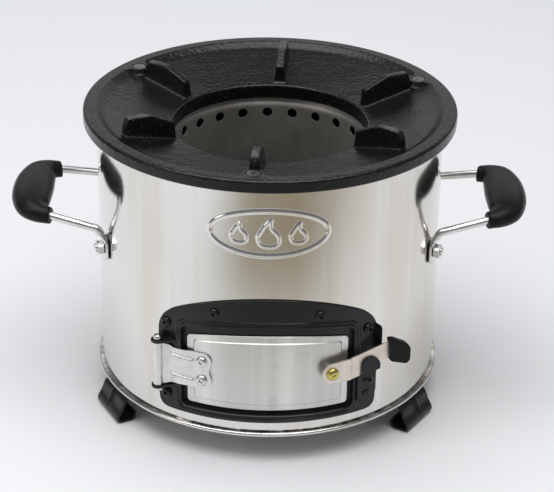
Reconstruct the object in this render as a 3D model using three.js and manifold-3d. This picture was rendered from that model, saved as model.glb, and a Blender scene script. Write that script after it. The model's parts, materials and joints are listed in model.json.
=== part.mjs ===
// Rocket stove: a round steel wood stove with a cast-iron pot ring, a hinged feed door and two side handles.
// Millimetres, +Z up. The origin is on the floor on the stove's axis, and the door faces -Y.
import * as THREE from "three";
import { mergeVertices } from "three/addons/utils/BufferGeometryUtils.js";
import Module from "manifold-3d";

const wasm = await Module();
wasm.setup();

// ---- Driving dimensions ----
const GAP = 0.3; // between pieces that touch
const SEGMENTS = 48; // facets round the stove's axis
const INNER_SEGMENTS = 40; // facets of the chamber and the grate

// Body
const BODY_R = 130;
const SHELL_WALL = 1;
const FOOT_HEIGHT = 22; // floor to the bottom seam
const SEAM_OUT = 3.3; // bottom seam outside the body
const SEAM_HEIGHT = 4.9;
const BASE_WALL = 1.2;
const EMBLEM_HALF_WIDTH = 45;
const EMBLEM_HALF_HEIGHT = 19.7;
const EMBLEM_BELOW_RIM = 44.7;
const EMBLEM_BEAD = 3.4;

// Cast ring
const RING_OVERHANG = 10; // ring outside the body
const RING_HOLE_R = 73;
const RIM_Z = 232.7; // top of the flat rim
const RING_WALL = 4.6;
const RIM_WIDTH = 10;
const LIP_DROP = 9.5; // rim top to the bottom of the outer lip
const LIP_WALL = 6;
const SLOPE_WIDTH = 6;
const SLOPE_DROP = 4;
const DISH_DROP = 15.2; // rim top to the edge of the hole
const COLLAR_DROP = 25.9; // rim top to the collar's bottom edge
const COLLAR_WALL = 5;
const RING_TURN = -5.2; // degrees, ring against body
const RIB_COUNT = 6;
const RIB_HEIGHT = 7.3; // above the rim
const RIB_OUTER_INSET = 6.5; // from the rim's slope
const RIB_INNER_INSET = 4.6; // from the hole
const RIB_TOP_WALL = 7;
const RIB_FOOT_WALL = 9;
const RING_SCREW_INSET = 4.5; // inside the body's surface
const RING_SCREW_HEAD_R = 5;
const RING_SCREW_SHANK_R = 2.4;
const RING_SCREW_LENGTH = 18;
const RING_BOSS_R = 7;
const BRACKET_WIDTH = 16;
const BRACKET_WALL = 1.5;
const BRACKET_REACH = 14;
const BRACKET_DROP = 16;

// Combustion chamber, grate and insulation
const CHAMBER_R = 75; // inside
const CHAMBER_WALL = 1.2;
const CHAMBER_LIP = 4.4;
const CHAMBER_LIP_HEIGHT = 7.3;
const CHAMBER_FLOOR_Z = 30;
const AIR_HOLE_COUNT = 24;
const AIR_HOLE_R = 3.9;
const AIR_HOLE_DROP = 12.4; // chamber top to the hole centres
const AIR_HOLE_TURN = 1.7; // degrees
const AIR_JACKET = 6;
const LEDGE_WIDTH = 8;
const LEDGE_WALL = 2;
const LEDGE_Z = 42;
const GRATE_R = 70;
const GRATE_WALL = 4.7;
const GRATE_SLOT = 6;
const GRATE_PITCH = 13;
const INSULATION_INSET = 6.5; // inside the body's surface

// Feed door and its frame, as arc lengths on the body and heights above the floor
const FRAME_WALL = 1.5;
const FRAME_HALF = 85; // middle to the side edges
const FRAME_BOTTOM = 33.5;
const FRAME_SIDE_TOP = 110.8;
const FRAME_CROWN = 135.6;
const FRAME_BOTTOM_CORNER = 9.5;
const FRAME_TOP_CORNER = 13;
const RECESS_BORDER = 20; // frame edge to the recess
const RECESS_BOTTOM = 40;
const RECESS_SIDE_TOP = 106.3;
const RECESS_CROWN = 112.3;
const RECESS_CORNER = 4;
const DOOR_WALL = 1;
const DOOR_SET_BACK = 0.9; // door face behind the body's surface
const DOOR_SIDE_GAP = 3.5;
const DOOR_BOTTOM_GAP = 2.8;
const DOOR_TOP_GAP = 7.5;
const DOOR_PANEL_BORDER = 6.5;
const DOOR_PANEL_BOTTOM_BORDER = 5.2;
const DOOR_PANEL_RISE = 1;
const MOUTH_BORDER = 6.5; // door edge to the opening behind it
const LUG_BOTTOM = 83.5; // low wall at the frame's right edge
const LUG_TOP = 104;
const LUG_WALL = 2;
const LUG_OUT = 6;
const TUNNEL_HALF = 50; // inside
const TUNNEL_FLOOR = 50;
const TUNNEL_ROOF = 92;
const TUNNEL_WALL = 1;

// Fasteners of the frame
const CROWN_SCREWS = [
  [-38.1, 122],
  [36.9, 121],
];
const LEFT_SCREW_INSET = 7.7; // from the frame's side edge
const LEFT_SCREWS_Z = [105.6, 46.1];
const RIGHT_SCREW_INSET = 8.8;
const RIGHT_SCREWS_Z = [102.2, 60.5];
const CATCH_RIVET_Z = 48.9;
const M4_R = 1.9;
const M4_HEAD_R = 4;
const M4_HEAD = 2.3;
const HOLE_GAP = 0.3; // shank to hole

// Hinge
const PIN_R = 1.9;
const PIN_INSET = 4; // inside the frame's left edge
const PIN_OUT = 7.8; // pin axis outside the body's surface
const PIN_HEAD_R = 3.2;
const PIN_HEAD = 3.2;
const EAR_R = 5;
const EAR_WALL = 2;
const EAR_TOP = 93;
const EAR_BOTTOM = 53;
const BARREL_R = 3.8;
const STRAP_WALL = 1.2;
const STRAP_BOTTOM = 57.3;
const STRAP_TOP = 86.8;
const STRAP_REACH = 20.5; // onto the door
const STRAP_RIVETS = [79.6, 64.3];
const STRAP_LOBE_R = 7;

// Latch
const PIVOT_INSET = 16; // from the door's edge
const PIVOT_Z = 73.9;
const LEVER_WALL = 1.5;
const LEVER_R = 8;
const LEVER_JOGGLE = 1.2;
const M5_R = 2.4;
const M5_HEAD_R = 4.75;
const M5_HEAD = 3;
const M5_NUT_FLATS = 8;
const M5_NUT = 3.4;
const KNOB = 6.4; // thickness
const KNOB_BACK_WALL = 1.3; // behind the lever
const KNOB_CLEARANCE = 0.5; // above the frame's face
const CATCH_WALL = 1.5;
const CATCH_WIDTH = 16.4;
const CATCH_BOTTOM = 43.2;

// Handles
const ROD_R = 3;
const HANDLE_HALF_ANGLE = 21.5; // degrees between a bolt and the X axis
const HANDLE_BOLT_Z = 135.5;
const TAB_HALF = 6.5;
const TAB_WALL = 3;
const TAB_BELOW_BOLT = 10.3;
const M6_R = 2.85;
const M6_HEAD_R = 5.2;
const M6_HEAD = 2.2;
const M6_NUT_FLATS = 10;
const M6_NUT = 4.6;
const GRIP_END_R = 6.4;
const GRIP_HALF_WIDTH = 15.6;
const GRIP_HALF_HEIGHT = 10.4;
const GRIP_REACH = 50.3; // grip's centre line outside the body's surface

// Feet
const FOOT_AZIMUTHS = { foot_front_left: -152.2, foot_front_right: -32.2, foot_back: 87.8 };
const FOOT_WIDTH = 38;
const FOOT_WALL = 2;
const FOOT_FLARE = 8.4; // floor edge outside the top edge
const FOOT_FLANGE = 25;
const FOOT_SOLE = 10.5;
const FOOT_GROOVE = 7;
const FOOT_RIVET_R = 2.4;
const FOOT_RIVET_HEAD_R = 4.6;

// ---- Places worked out from them ----
const DEG = Math.PI / 180;
const FACET = (2 * Math.PI) / SEGMENTS;
const FACET_SAG = BODY_R * (1 - Math.cos(FACET / 2)); // a facet's middle inside the true circle
const SHELL_INNER_R = BODY_R - SHELL_WALL;
const SHELL_TOP = RIM_Z - RING_WALL - GAP;
const BASE_Z = FOOT_HEIGHT + 0.2;
const BASE_TOP = BASE_Z + BASE_WALL;
const SEAM_R = BODY_R + SEAM_OUT;
const RING_R = BODY_R + RING_OVERHANG;
const SLOPE_R = RING_R - RIM_WIDTH - SLOPE_WIDTH;
const RIB_OUTER_R = SLOPE_R - RIB_OUTER_INSET;
const RIB_INNER_R = RING_HOLE_R + RIB_INNER_INSET;
const RING_SCREW_R = BODY_R - RING_SCREW_INSET;
const DISH_EDGE_Z = RIM_Z - DISH_DROP;
const RING_COLLAR_Z = RIM_Z - COLLAR_DROP;
const BOSS_BOTTOM = ringUnderside(SHELL_INNER_R - BRACKET_REACH) - 2 * GAP;
const RING_SCREW_TURNS = [0, 120, 240];
const CHAMBER_TOP = RING_COLLAR_Z - 0.5;
const CHAMBER_OUTER_R = CHAMBER_R + CHAMBER_WALL;
const INSULATION_R = BODY_R - INSULATION_INSET;
const INSULATION_Z = BASE_TOP + 2.2;
const RECESS_HALF = FRAME_HALF - RECESS_BORDER;
const DOOR_HALF = RECESS_HALF - DOOR_SIDE_GAP;
const DOOR_BOTTOM = RECESS_BOTTOM + DOOR_BOTTOM_GAP;
const DOOR_SIDE_TOP = RECESS_SIDE_TOP - DOOR_TOP_GAP;
const DOOR_CROWN = RECESS_CROWN - DOOR_TOP_GAP;
const DOOR_BACK = -DOOR_SET_BACK - DOOR_WALL; // depth below the body's surface
const RECESS_DEPTH = DOOR_BACK - GAP;
const FRAME_FACE = GAP + FRAME_WALL;
const DOOR_FACE = DOOR_PANEL_RISE - DOOR_SET_BACK;
const FRAME_SCREWS = [
  ...CROWN_SCREWS,
  [LEFT_SCREW_INSET - FRAME_HALF, LEFT_SCREWS_Z[0]],
  [FRAME_HALF - RIGHT_SCREW_INSET, RIGHT_SCREWS_Z[0]],
  [LEFT_SCREW_INSET - FRAME_HALF, LEFT_SCREWS_Z[1]],
  [FRAME_HALF - RIGHT_SCREW_INSET, RIGHT_SCREWS_Z[1]],
];
const CATCH_RIVET = [FRAME_HALF - RIGHT_SCREW_INSET - 1.5, CATCH_RIVET_Z];
const PIN_ARC = PIN_INSET - FRAME_HALF;
const PIN_AZIMUTH = azimuthOf(PIN_ARC);
const PIN_AXIS_R = BODY_R + PIN_OUT;
const STRAP_END_ARC = STRAP_REACH - DOOR_HALF;
const STRAP_LOBE_ARC = STRAP_END_ARC - STRAP_LOBE_R;
const PIVOT_AZIMUTH = azimuthOf(DOOR_HALF - PIVOT_INSET);
const KNOB_BACK = BODY_R + FRAME_FACE + KNOB_CLEARANCE; // along the pivot's axis
const LEVER_BACK = KNOB_BACK + KNOB_BACK_WALL + GAP; // lever's outer stretch
const LEVER_PIVOT_BACK = LEVER_BACK + LEVER_JOGGLE;
const LEVER_FACE = LEVER_PIVOT_BACK + LEVER_WALL;
const TONGUE_BACK = LEVER_BACK + LEVER_WALL + 2 * GAP;
const GRIP_Z = HANDLE_BOLT_Z + 24;
const FOOT_TOP = FOOT_HEIGHT - GAP;
const FOOT_RIVET_PLACE = BODY_R - 18;

// Azimuth in degrees, from +X, of an arc length measured on the body from the front towards +X.
function azimuthOf(arc) {
  return -90 + arc / BODY_R / DEG;
}

// Height of the underside of the ring's dish.
function ringUnderside(radius) {
  const share = (radius - RING_HOLE_R) / (SLOPE_R - RING_HOLE_R);
  return THREE.MathUtils.lerp(DISH_EDGE_Z, RIM_Z - SLOPE_DROP, share) - RING_WALL;
}

// ---- Solids from three.js geometry ----
function solidOf(geometry) {
  const bare = new THREE.BufferGeometry().setAttribute("position", geometry.getAttribute("position"));
  if (geometry.index) bare.setIndex(geometry.index);
  const merged = mergeVertices(bare, 1e-4);
  const corners = merged.index.array;
  const kept = [];
  for (let i = 0; i < corners.length; i += 3) {
    const [a, b, c] = [corners[i], corners[i + 1], corners[i + 2]];
    if (a !== b && b !== c && c !== a) kept.push(a, b, c);
  }
  const vertProperties = Float32Array.from(merged.attributes.position.array);
  const build = (triVerts) => new wasm.Manifold(new wasm.Mesh({ numProp: 3, vertProperties, triVerts }));
  const solid = build(Uint32Array.from(kept));
  return solid.volume() > 0 ? solid : build(Uint32Array.from(kept.reverse()));
}

function geometryOf(solid) {
  const { vertProperties, triVerts } = solid.getMesh();
  const geometry = new THREE.BufferGeometry();
  geometry.setAttribute("position", new THREE.BufferAttribute(vertProperties, 3));
  geometry.setIndex(new THREE.BufferAttribute(triVerts, 1));
  geometry.computeVertexNormals();
  return geometry;
}

function moved(solid, matrix) {
  return solidOf(geometryOf(solid).applyMatrix4(matrix));
}

const joined = (first, ...others) => others.reduce((sum, next) => sum.add(next), first);
const cutBy = (solid, ...cutters) => cutters.reduce((rest, next) => rest.subtract(next), solid);

// A turned solid from [radius, height] points: a closed loop, or a line from axis to axis.
function turned(points, segments = SEGMENTS) {
  const onAxis = points[0][0] === 0 && points.at(-1)[0] === 0;
  const loop = onAxis ? points : [...points, points[0]];
  const profile = loop.map(([radius, height]) => new THREE.Vector2(radius, height));
  return solidOf(new THREE.LatheGeometry(profile, segments).rotateX(Math.PI / 2));
}

const tube = (inner, outer, low, high, segments = SEGMENTS) =>
  turned(
    [
      [inner, low],
      [outer, low],
      [outer, high],
      [inner, high],
    ],
    segments,
  );

function disc(radius, low, high, segments = SEGMENTS) {
  return turned(
    [
      [0, low],
      [radius, low],
      [radius, high],
      [0, high],
    ],
    segments,
  );
}

function extruded(shape, from, to, curveSegments = 2) {
  const settings = { depth: to - from, bevelEnabled: false, curveSegments };
  return solidOf(new THREE.ExtrudeGeometry(shape, settings).translate(0, 0, from));
}

function block(low, high) {
  const size = high.map((value, i) => value - low[i]);
  const middle = high.map((value, i) => (value + low[i]) / 2);
  return solidOf(new THREE.BoxGeometry(...size).translate(...middle));
}

function swept(curve, section, steps) {
  return solidOf(new THREE.ExtrudeGeometry(section, { steps, extrudePath: curve, bevelEnabled: false }));
}

const polygon = (points) => new THREE.Shape(points.map(([x, y]) => new THREE.Vector2(x, y)));

function circle(radius, sides, turn = 0) {
  const corner = (i) => {
    const angle = turn + (i * 2 * Math.PI) / sides;
    return [radius * Math.cos(angle), radius * Math.sin(angle)];
  };
  return polygon(Array.from({ length: sides }, (_, i) => corner(i)));
}

// The outline of a sheet of even thickness whose middle line runs through the points.
function sheetOutline(points, wall) {
  const normalAt = (i) => {
    const before = points[Math.max(i - 1, 0)];
    const after = points[Math.min(i + 1, points.length - 1)];
    const along = new THREE.Vector2(after[0] - before[0], after[1] - before[1]).normalize();
    return [-along.y, along.x];
  };
  const side = (sign) =>
    points.map(([x, y], i) => {
      const [nx, ny] = normalAt(i);
      return [x + (sign * nx * wall) / 2, y + (sign * ny * wall) / 2];
    });
  return polygon([...side(1), ...side(-1).reverse()]);
}

// A frame on the stove: X along the surface, Y up, Z straight out from the axis.
function outwardFrame(azimuth, radius, height) {
  const angle = azimuth * DEG;
  const out = new THREE.Vector3(Math.cos(angle), Math.sin(angle), 0);
  const along = new THREE.Vector3(-Math.sin(angle), Math.cos(angle), 0);
  const frame = new THREE.Matrix4().makeBasis(along, new THREE.Vector3(0, 0, 1), out);
  return frame.setPosition(out.x * radius, out.y * radius, height);
}

// A drill that goes straight in towards the axis.
function drill(azimuth, height, radius, from, to) {
  return moved(disc(radius, from, to, 8), outwardFrame(azimuth, 0, height));
}

const M4_HOLE_R = M4_R + HOLE_GAP;

const frameHoles = () =>
  [...FRAME_SCREWS, CATCH_RIVET].map(([arc, height]) =>
    drill(azimuthOf(arc), height, M4_HOLE_R, BODY_R - 8, BODY_R + 8),
  );

const strapHoles = () =>
  STRAP_RIVETS.map((height) => drill(azimuthOf(STRAP_LOBE_ARC), height, M4_HOLE_R, BODY_R - 8, BODY_R + 8));

// ---- Bending flat pieces round the body ----
// Splits each triangle that crosses x = cut, so that the piece can fold there.
function splitAt(points, faces, cut) {
  const side = points.map(([x]) => (Math.abs(x - cut) < 1e-4 ? 0 : Math.sign(x - cut)));
  const crossings = new Map();
  const crossing = (a, b) => {
    const key = Math.min(a, b) + "_" + Math.max(a, b);
    if (!crossings.has(key)) {
      const [p, q] = [points[Math.min(a, b)], points[Math.max(a, b)]];
      const share = (cut - p[0]) / (q[0] - p[0]);
      points.push(p.map((value, i) => (i ? value + share * (q[i] - value) : cut)));
      crossings.set(key, points.length - 1);
    }
    return crossings.get(key);
  };
  return faces.flatMap((face) => {
    if (!face.some((v) => side[v] < 0) || !face.some((v) => side[v] > 0)) return [face];
    const halves = { "-1": [], 1: [] };
    face.forEach((v, i) => {
      const next = face[(i + 1) % 3];
      for (const half of [-1, 1]) if (side[v] !== -half) halves[half].push(v);
      if (side[v] * side[next] < 0) for (const half of [-1, 1]) halves[half].push(crossing(v, next));
    });
    return Object.values(halves).flatMap((p) => p.slice(2).map((v, i) => [p[0], p[i + 1], v]));
  });
}

// Bends a flat solid (X arc length, Y height, Z depth out of the body's surface) onto the body's facets.
function bent(flat) {
  const { vertProperties, triVerts } = flat.getMesh();
  const points = [];
  for (let i = 0; i < vertProperties.length; i += 3) points.push([...vertProperties.slice(i, i + 3)]);
  let faces = [];
  for (let i = 0; i < triVerts.length; i += 3) faces.push([...triVerts.slice(i, i + 3)]);
  const arc = FACET * BODY_R;
  const first = Math.ceil(Math.min(...points.map((p) => p[0])) / arc);
  const last = Math.floor(Math.max(...points.map((p) => p[0])) / arc);
  for (let i = first; i <= last; i++) faces = splitAt(points, faces, i * arc);
  const positions = points.flatMap(([along, height, depth]) => {
    const facet = Math.floor(along / arc + 1e-6);
    const share = along / arc - facet;
    const [a, b] = [facet * FACET, (facet + 1) * FACET];
    const x = THREE.MathUtils.lerp(Math.sin(a), Math.sin(b), share);
    const y = THREE.MathUtils.lerp(Math.cos(a), Math.cos(b), share);
    return [(BODY_R + depth) * x, -(BODY_R + depth) * y, height];
  });
  const geometry = new THREE.BufferGeometry();
  geometry.setAttribute("position", new THREE.Float32BufferAttribute(positions, 3));
  geometry.setIndex(faces.flat());
  return solidOf(geometry);
}

// A plate with an arched top edge, in arc length and height.
function archedShape(half, bottom, sideTop, crown, bottomCorner, topCorner = bottomCorner) {
  const rise = crown - sideTop;
  const radius = (half * half + rise * rise) / (2 * rise);
  const topAt = (along) => crown - radius + Math.sqrt(radius * radius - along * along);
  const shape = new THREE.Shape();
  shape.moveTo(-half + bottomCorner, bottom);
  shape.lineTo(half - bottomCorner, bottom);
  shape.quadraticCurveTo(half, bottom, half, bottom + bottomCorner);
  shape.lineTo(half, sideTop - topCorner);
  shape.quadraticCurveTo(half, sideTop, half - topCorner, topAt(half - topCorner));
  const steps = 4;
  for (let i = 1; i <= steps; i++) {
    const along = (half - topCorner) * (1 - (2 * i) / steps);
    shape.lineTo(along, topAt(along));
  }
  shape.quadraticCurveTo(-half, sideTop, -half, sideTop - topCorner);
  shape.lineTo(-half, bottom + bottomCorner);
  shape.quadraticCurveTo(-half, bottom, -half + bottomCorner, bottom);
  return shape;
}

// ---- Finishes ----
const finish = (color, roughness, metalness) =>
  new THREE.MeshStandardMaterial({ color, roughness, metalness });
const STAINLESS = finish(0xcfcdc8, 0.25, 1);
const BRUSHED = finish(0xbdbbb4, 0.4, 1);
const CHAMBER_STEEL = finish(0x7d7a72, 0.5, 1);
const CAST_IRON = finish(0x26282a, 0.55, 0.4);
const BLACK_PAINT = finish(0x2c2e31, 0.4, 0.2);
const ZINC = finish(0xd9d8d4, 0.3, 1);
const YELLOW_ZINC = finish(0xc9b45a, 0.3, 1);
const NICKEL = finish(0xd8d0c4, 0.35, 1);
const BLACK_PLASTIC = finish(0x1f2123, 0.45, 0);
const WOOL = finish(0xd8cdb0, 0.95, 0);

const stove = new THREE.Group();

function add(name, solid, material, matrix) {
  const mesh = new THREE.Mesh(geometryOf(solid), material);
  mesh.name = name;
  if (matrix) mesh.applyMatrix4(matrix);
  stove.add(mesh);
}

// ---- Body ----
const cutOutShape = () => {
  const border = FRAME_WALL + GAP;
  const [half, bottom] = [RECESS_HALF + border, RECESS_BOTTOM - border];
  return archedShape(half, bottom, RECESS_SIDE_TOP + border, RECESS_CROWN + border, RECESS_CORNER);
};

function emblem() {
  const ring = new THREE.Shape();
  const centre = RIM_Z - EMBLEM_BELOW_RIM;
  const oval = (path, inset) =>
    path.absellipse(0, centre, EMBLEM_HALF_WIDTH - inset, EMBLEM_HALF_HEIGHT - inset, 0, 2 * Math.PI);
  oval(ring, 0);
  ring.holes.push(oval(new THREE.Path(), EMBLEM_BEAD));
  return bent(extruded(ring, -SHELL_WALL / 2, 0.9, 12));
}

function bodyShell() {
  const seamTop = FOOT_HEIGHT + SEAM_HEIGHT;
  const wall = turned([
    [SHELL_INNER_R, FOOT_HEIGHT],
    [SEAM_R - 1.6, FOOT_HEIGHT],
    [SEAM_R, FOOT_HEIGHT + 1.3],
    [SEAM_R, seamTop - 1.6],
    [SEAM_R - 1.6, seamTop - 0.4],
    [BODY_R, seamTop],
    [BODY_R, SHELL_TOP],
    [SHELL_INNER_R, SHELL_TOP],
  ]);
  const doorway = bent(extruded(cutOutShape(), -8, 8));
  const bolts = handleAzimuths().map((azimuth) =>
    drill(azimuth, HANDLE_BOLT_Z, M6_R + HOLE_GAP, BODY_R - 8, BODY_R + 8),
  );
  return cutBy(joined(wall, emblem()), doorway, ...frameHoles(), ...bolts);
}

function basePlate() {
  const plate = disc(SHELL_INNER_R - GAP, BASE_Z, BASE_TOP);
  const holes = Object.values(FOOT_AZIMUTHS).map((azimuth) => footRivetHole(azimuth));
  return cutBy(plate, ...holes);
}

// ---- Cast ring ----
function ringBody() {
  const underRim = RIM_Z - RING_WALL;
  return turned([
    [RING_HOLE_R, RING_COLLAR_Z],
    [RING_HOLE_R + COLLAR_WALL, RING_COLLAR_Z],
    [RING_HOLE_R + COLLAR_WALL, ringUnderside(RING_HOLE_R + COLLAR_WALL)],
    [SLOPE_R, RIM_Z - SLOPE_DROP - RING_WALL],
    [RING_R - RIM_WIDTH - 1, underRim],
    [RING_R - LIP_WALL, underRim],
    [RING_R - LIP_WALL, RIM_Z - LIP_DROP],
    [RING_R, RIM_Z - LIP_DROP],
    [RING_R, RIM_Z],
    [RING_R - RIM_WIDTH, RIM_Z],
    [SLOPE_R, RIM_Z - SLOPE_DROP],
    [RING_HOLE_R, DISH_EDGE_Z],
  ]);
}

// One pot rest along +X: its sides draw in towards the top.
function ringRib() {
  const top = RIM_Z + RIB_HEIGHT;
  const root = ringUnderside(RIB_INNER_R) + RING_WALL / 2;
  const outline = polygon([
    [RIB_INNER_R, root],
    [RIB_OUTER_R, ringUnderside(RIB_OUTER_R) + RING_WALL / 2],
    [RIB_OUTER_R, RIM_Z],
    [RIB_OUTER_R - 3, top],
    [RIB_OUTER_R - 20.5, top],
    [RIB_INNER_R + 1.4, RIM_Z - 1],
  ]);
  const wide = RIB_FOOT_WALL / 2;
  const rib = geometryOf(extruded(outline, -wide, wide)).rotateX(Math.PI / 2);
  const corners = rib.getAttribute("position");
  for (let i = 0; i < corners.count; i++) {
    const share = (corners.getZ(i) - root) / (top - root);
    const wall = THREE.MathUtils.lerp(RIB_FOOT_WALL, RIB_TOP_WALL, share);
    corners.setY(i, (corners.getY(i) * wall) / RIB_FOOT_WALL);
  }
  return solidOf(rib);
}

// Countersunk screw, with its head's top face at height 0.
const countersunk = (grow) =>
  turned(
    [
      [0, -RING_SCREW_LENGTH],
      [RING_SCREW_SHANK_R + grow, -RING_SCREW_LENGTH],
      [RING_SCREW_SHANK_R + grow, RING_SCREW_SHANK_R - RING_SCREW_HEAD_R - 0.2],
      [RING_SCREW_HEAD_R + grow, -0.2],
      [RING_SCREW_HEAD_R + grow, 0.2 * Math.sign(grow)],
      [0, 0.2 * Math.sign(grow)],
    ],
    16,
  );

const turnAbout = (degrees) => new THREE.Matrix4().makeRotationZ(degrees * DEG);

const ringPlace = (turn, radius, height) =>
  turnAbout(RING_TURN - 90 + turn).multiply(new THREE.Matrix4().makeTranslation(radius, 0, height));

function topRing() {
  const pad = disc(RING_BOSS_R, RIM_Z - RING_WALL, RIM_Z, 16);
  const boss = disc(RING_BOSS_R, BOSS_BOTTOM, RIM_Z - 1, 16);
  const insideShell = disc(SHELL_INNER_R - 2 * GAP, 0, RIM_Z);
  const bosses = RING_SCREW_TURNS.flatMap((turn) => {
    const place = ringPlace(turn, RING_SCREW_R, 0);
    return [moved(pad, place), moved(boss, place).intersect(insideShell)];
  });
  const ribs = Array.from({ length: RIB_COUNT }, (_, i) =>
    moved(ringRib(), ringPlace((i * 360) / RIB_COUNT, 0, 0)),
  );
  const holes = RING_SCREW_TURNS.map((turn) =>
    moved(countersunk(HOLE_GAP), ringPlace(turn, RING_SCREW_R, RIM_Z)),
  );
  const body = moved(ringBody(), turnAbout(RING_TURN));
  return cutBy(joined(body, ...bosses, ...ribs), ...holes);
}

// A channel under the ring's screw, welded to the shell by its side walls.
function ringBracket(turn) {
  const top = BOSS_BOTTOM - GAP;
  const outer = SHELL_INNER_R - GAP;
  const half = BRACKET_WIDTH / 2;
  const body = block([outer - BRACKET_REACH, -half, top - BRACKET_DROP], [outer + 2, half, top]);
  const inside = half - BRACKET_WALL;
  const channel = block([outer - 20, -inside, top - 30], [outer + 4, inside, top - BRACKET_WALL]);
  const hole = moved(disc(RING_SCREW_SHANK_R + HOLE_GAP, -30, 5, 12), ringPlaceFlat(top));
  const bracket = moved(cutBy(body, channel, hole), turnAbout(RING_TURN - 90 + turn));
  return bracket.intersect(disc(outer, 0, RIM_Z));
}

const ringPlaceFlat = (height) => new THREE.Matrix4().makeTranslation(RING_SCREW_R, 0, height);

// ---- Combustion chamber ----
const feedOpening = (inset, from, to) =>
  block(
    [-TUNNEL_HALF + inset, -to, TUNNEL_FLOOR + inset],
    [TUNNEL_HALF - inset, -from, TUNNEL_ROOF - inset],
  );

function combustionChamber() {
  const lipStart = CHAMBER_TOP - CHAMBER_LIP_HEIGHT;
  const profile = [
    [0, CHAMBER_FLOOR_Z],
    [CHAMBER_OUTER_R, CHAMBER_FLOOR_Z],
    [CHAMBER_OUTER_R, lipStart],
    [CHAMBER_R + CHAMBER_LIP, CHAMBER_TOP],
    [CHAMBER_R + CHAMBER_LIP - 1.6, CHAMBER_TOP],
    [CHAMBER_R, lipStart + 0.8],
    [CHAMBER_R, CHAMBER_FLOOR_Z + CHAMBER_WALL],
    [0, CHAMBER_FLOOR_Z + CHAMBER_WALL],
  ];
  const cup = turned(profile, INNER_SEGMENTS);
  const airHoles = Array.from({ length: AIR_HOLE_COUNT }, (_, i) => {
    const azimuth = 90 + AIR_HOLE_TURN + (i * 360) / AIR_HOLE_COUNT;
    return drill(azimuth, CHAMBER_TOP - AIR_HOLE_DROP, AIR_HOLE_R, CHAMBER_R - 4, CHAMBER_OUTER_R + 4);
  });
  return cutBy(cup, feedOpening(0, 0, CHAMBER_R + 10), ...airHoles);
}

function fuelGrate() {
  const plate = circle(GRATE_R, INNER_SEGMENTS);
  const rows = Math.floor(GRATE_R / GRATE_PITCH);
  for (let row = -rows + 1; row < rows; row++) {
    const y = row * GRATE_PITCH;
    const half = Math.sqrt(GRATE_R * GRATE_R - y * y) - 12;
    for (const [from, to] of [
      [-half, -4],
      [4, half],
    ]) {
      const slot = new THREE.Path();
      const r = GRATE_SLOT / 2;
      slot.absarc(to - r, y, r, -Math.PI / 2, Math.PI / 2);
      slot.absarc(from + r, y, r, Math.PI / 2, (3 * Math.PI) / 2);
      plate.holes.push(slot);
    }
  }
  const low = LEDGE_Z + LEDGE_WALL + GAP;
  return extruded(plate, low, low + GRATE_WALL);
}

function insulation() {
  const inner = CHAMBER_OUTER_R + AIR_JACKET;
  const wool = tube(inner, INSULATION_R, INSULATION_Z, CHAMBER_TOP - 2, INNER_SEGMENTS);
  return wool.subtract(feedOpening(-TUNNEL_WALL - GAP, 0, BODY_R));
}

function feedTunnel() {
  const duct = feedOpening(-TUNNEL_WALL, 0, BODY_R).subtract(feedOpening(0, -1, BODY_R + 1));
  return duct.intersect(tube(CHAMBER_OUTER_R + GAP, BODY_R + RECESS_DEPTH - FRAME_WALL - GAP, 0, RIM_Z));
}

// ---- Door frame ----
function withHole(shape, hole) {
  shape.holes.push(new THREE.Path(hole.getPoints(2)));
  return shape;
}

const recessShape = (grow = 0) =>
  archedShape(
    RECESS_HALF + grow,
    RECESS_BOTTOM - grow,
    RECESS_SIDE_TOP + grow,
    RECESS_CROWN + grow,
    RECESS_CORNER,
  );

const doorShape = (inset, bottomInset, corner) =>
  archedShape(
    DOOR_HALF - inset,
    DOOR_BOTTOM + bottomInset,
    DOOR_SIDE_TOP - inset * 0.6,
    DOOR_CROWN - inset,
    corner,
  );

// An eye that holds the hinge pin, reaching out from the frame's left edge.
function hingeEar(low, arm) {
  const pin = pinPoint();
  const root = (arc) => {
    const angle = azimuthOf(arc) * DEG;
    const radius = BODY_R + FRAME_FACE - 0.7;
    return [radius * Math.cos(angle), radius * Math.sin(angle)];
  };
  const eye = circle(EAR_R, 16).getPoints().map((p) => [p.x + pin.x, p.y + pin.y]);
  const outline = hull([...eye, root(PIN_ARC + 3), root(PIN_ARC + arm)]);
  return extruded(polygon(outline), low, low + EAR_WALL);
}

// The convex outline round some points, anticlockwise.
function hull(points) {
  const sorted = [...points].sort((p, q) => p[0] - q[0] || p[1] - q[1]);
  const turn = (o, a, b) => (a[0] - o[0]) * (b[1] - o[1]) - (a[1] - o[1]) * (b[0] - o[0]);
  const chain = (list) => {
    const kept = [];
    for (const point of list) {
      while (kept.length > 1 && turn(kept.at(-2), kept.at(-1), point) <= 0) kept.pop();
      kept.push(point);
    }
    return kept.slice(0, -1);
  };
  return [...chain(sorted), ...chain(sorted.reverse())];
}

const pinPoint = () => {
  const angle = PIN_AZIMUTH * DEG;
  return new THREE.Vector2(PIN_AXIS_R * Math.cos(angle), PIN_AXIS_R * Math.sin(angle));
};

const atPin = (height = 0) => {
  const pin = pinPoint();
  return new THREE.Matrix4().makeTranslation(pin.x, pin.y, height);
};

// A low wall at the frame's right edge that the raised lever slides past.
const sideLug = () => {
  const edge = FRAME_HALF;
  const outline = [
    [edge, LUG_BOTTOM],
    [edge + LUG_WALL, LUG_BOTTOM],
    [edge + LUG_WALL, LUG_TOP - 3],
    [edge, LUG_TOP],
  ];
  return extruded(polygon(outline), GAP, LUG_OUT);
};

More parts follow.
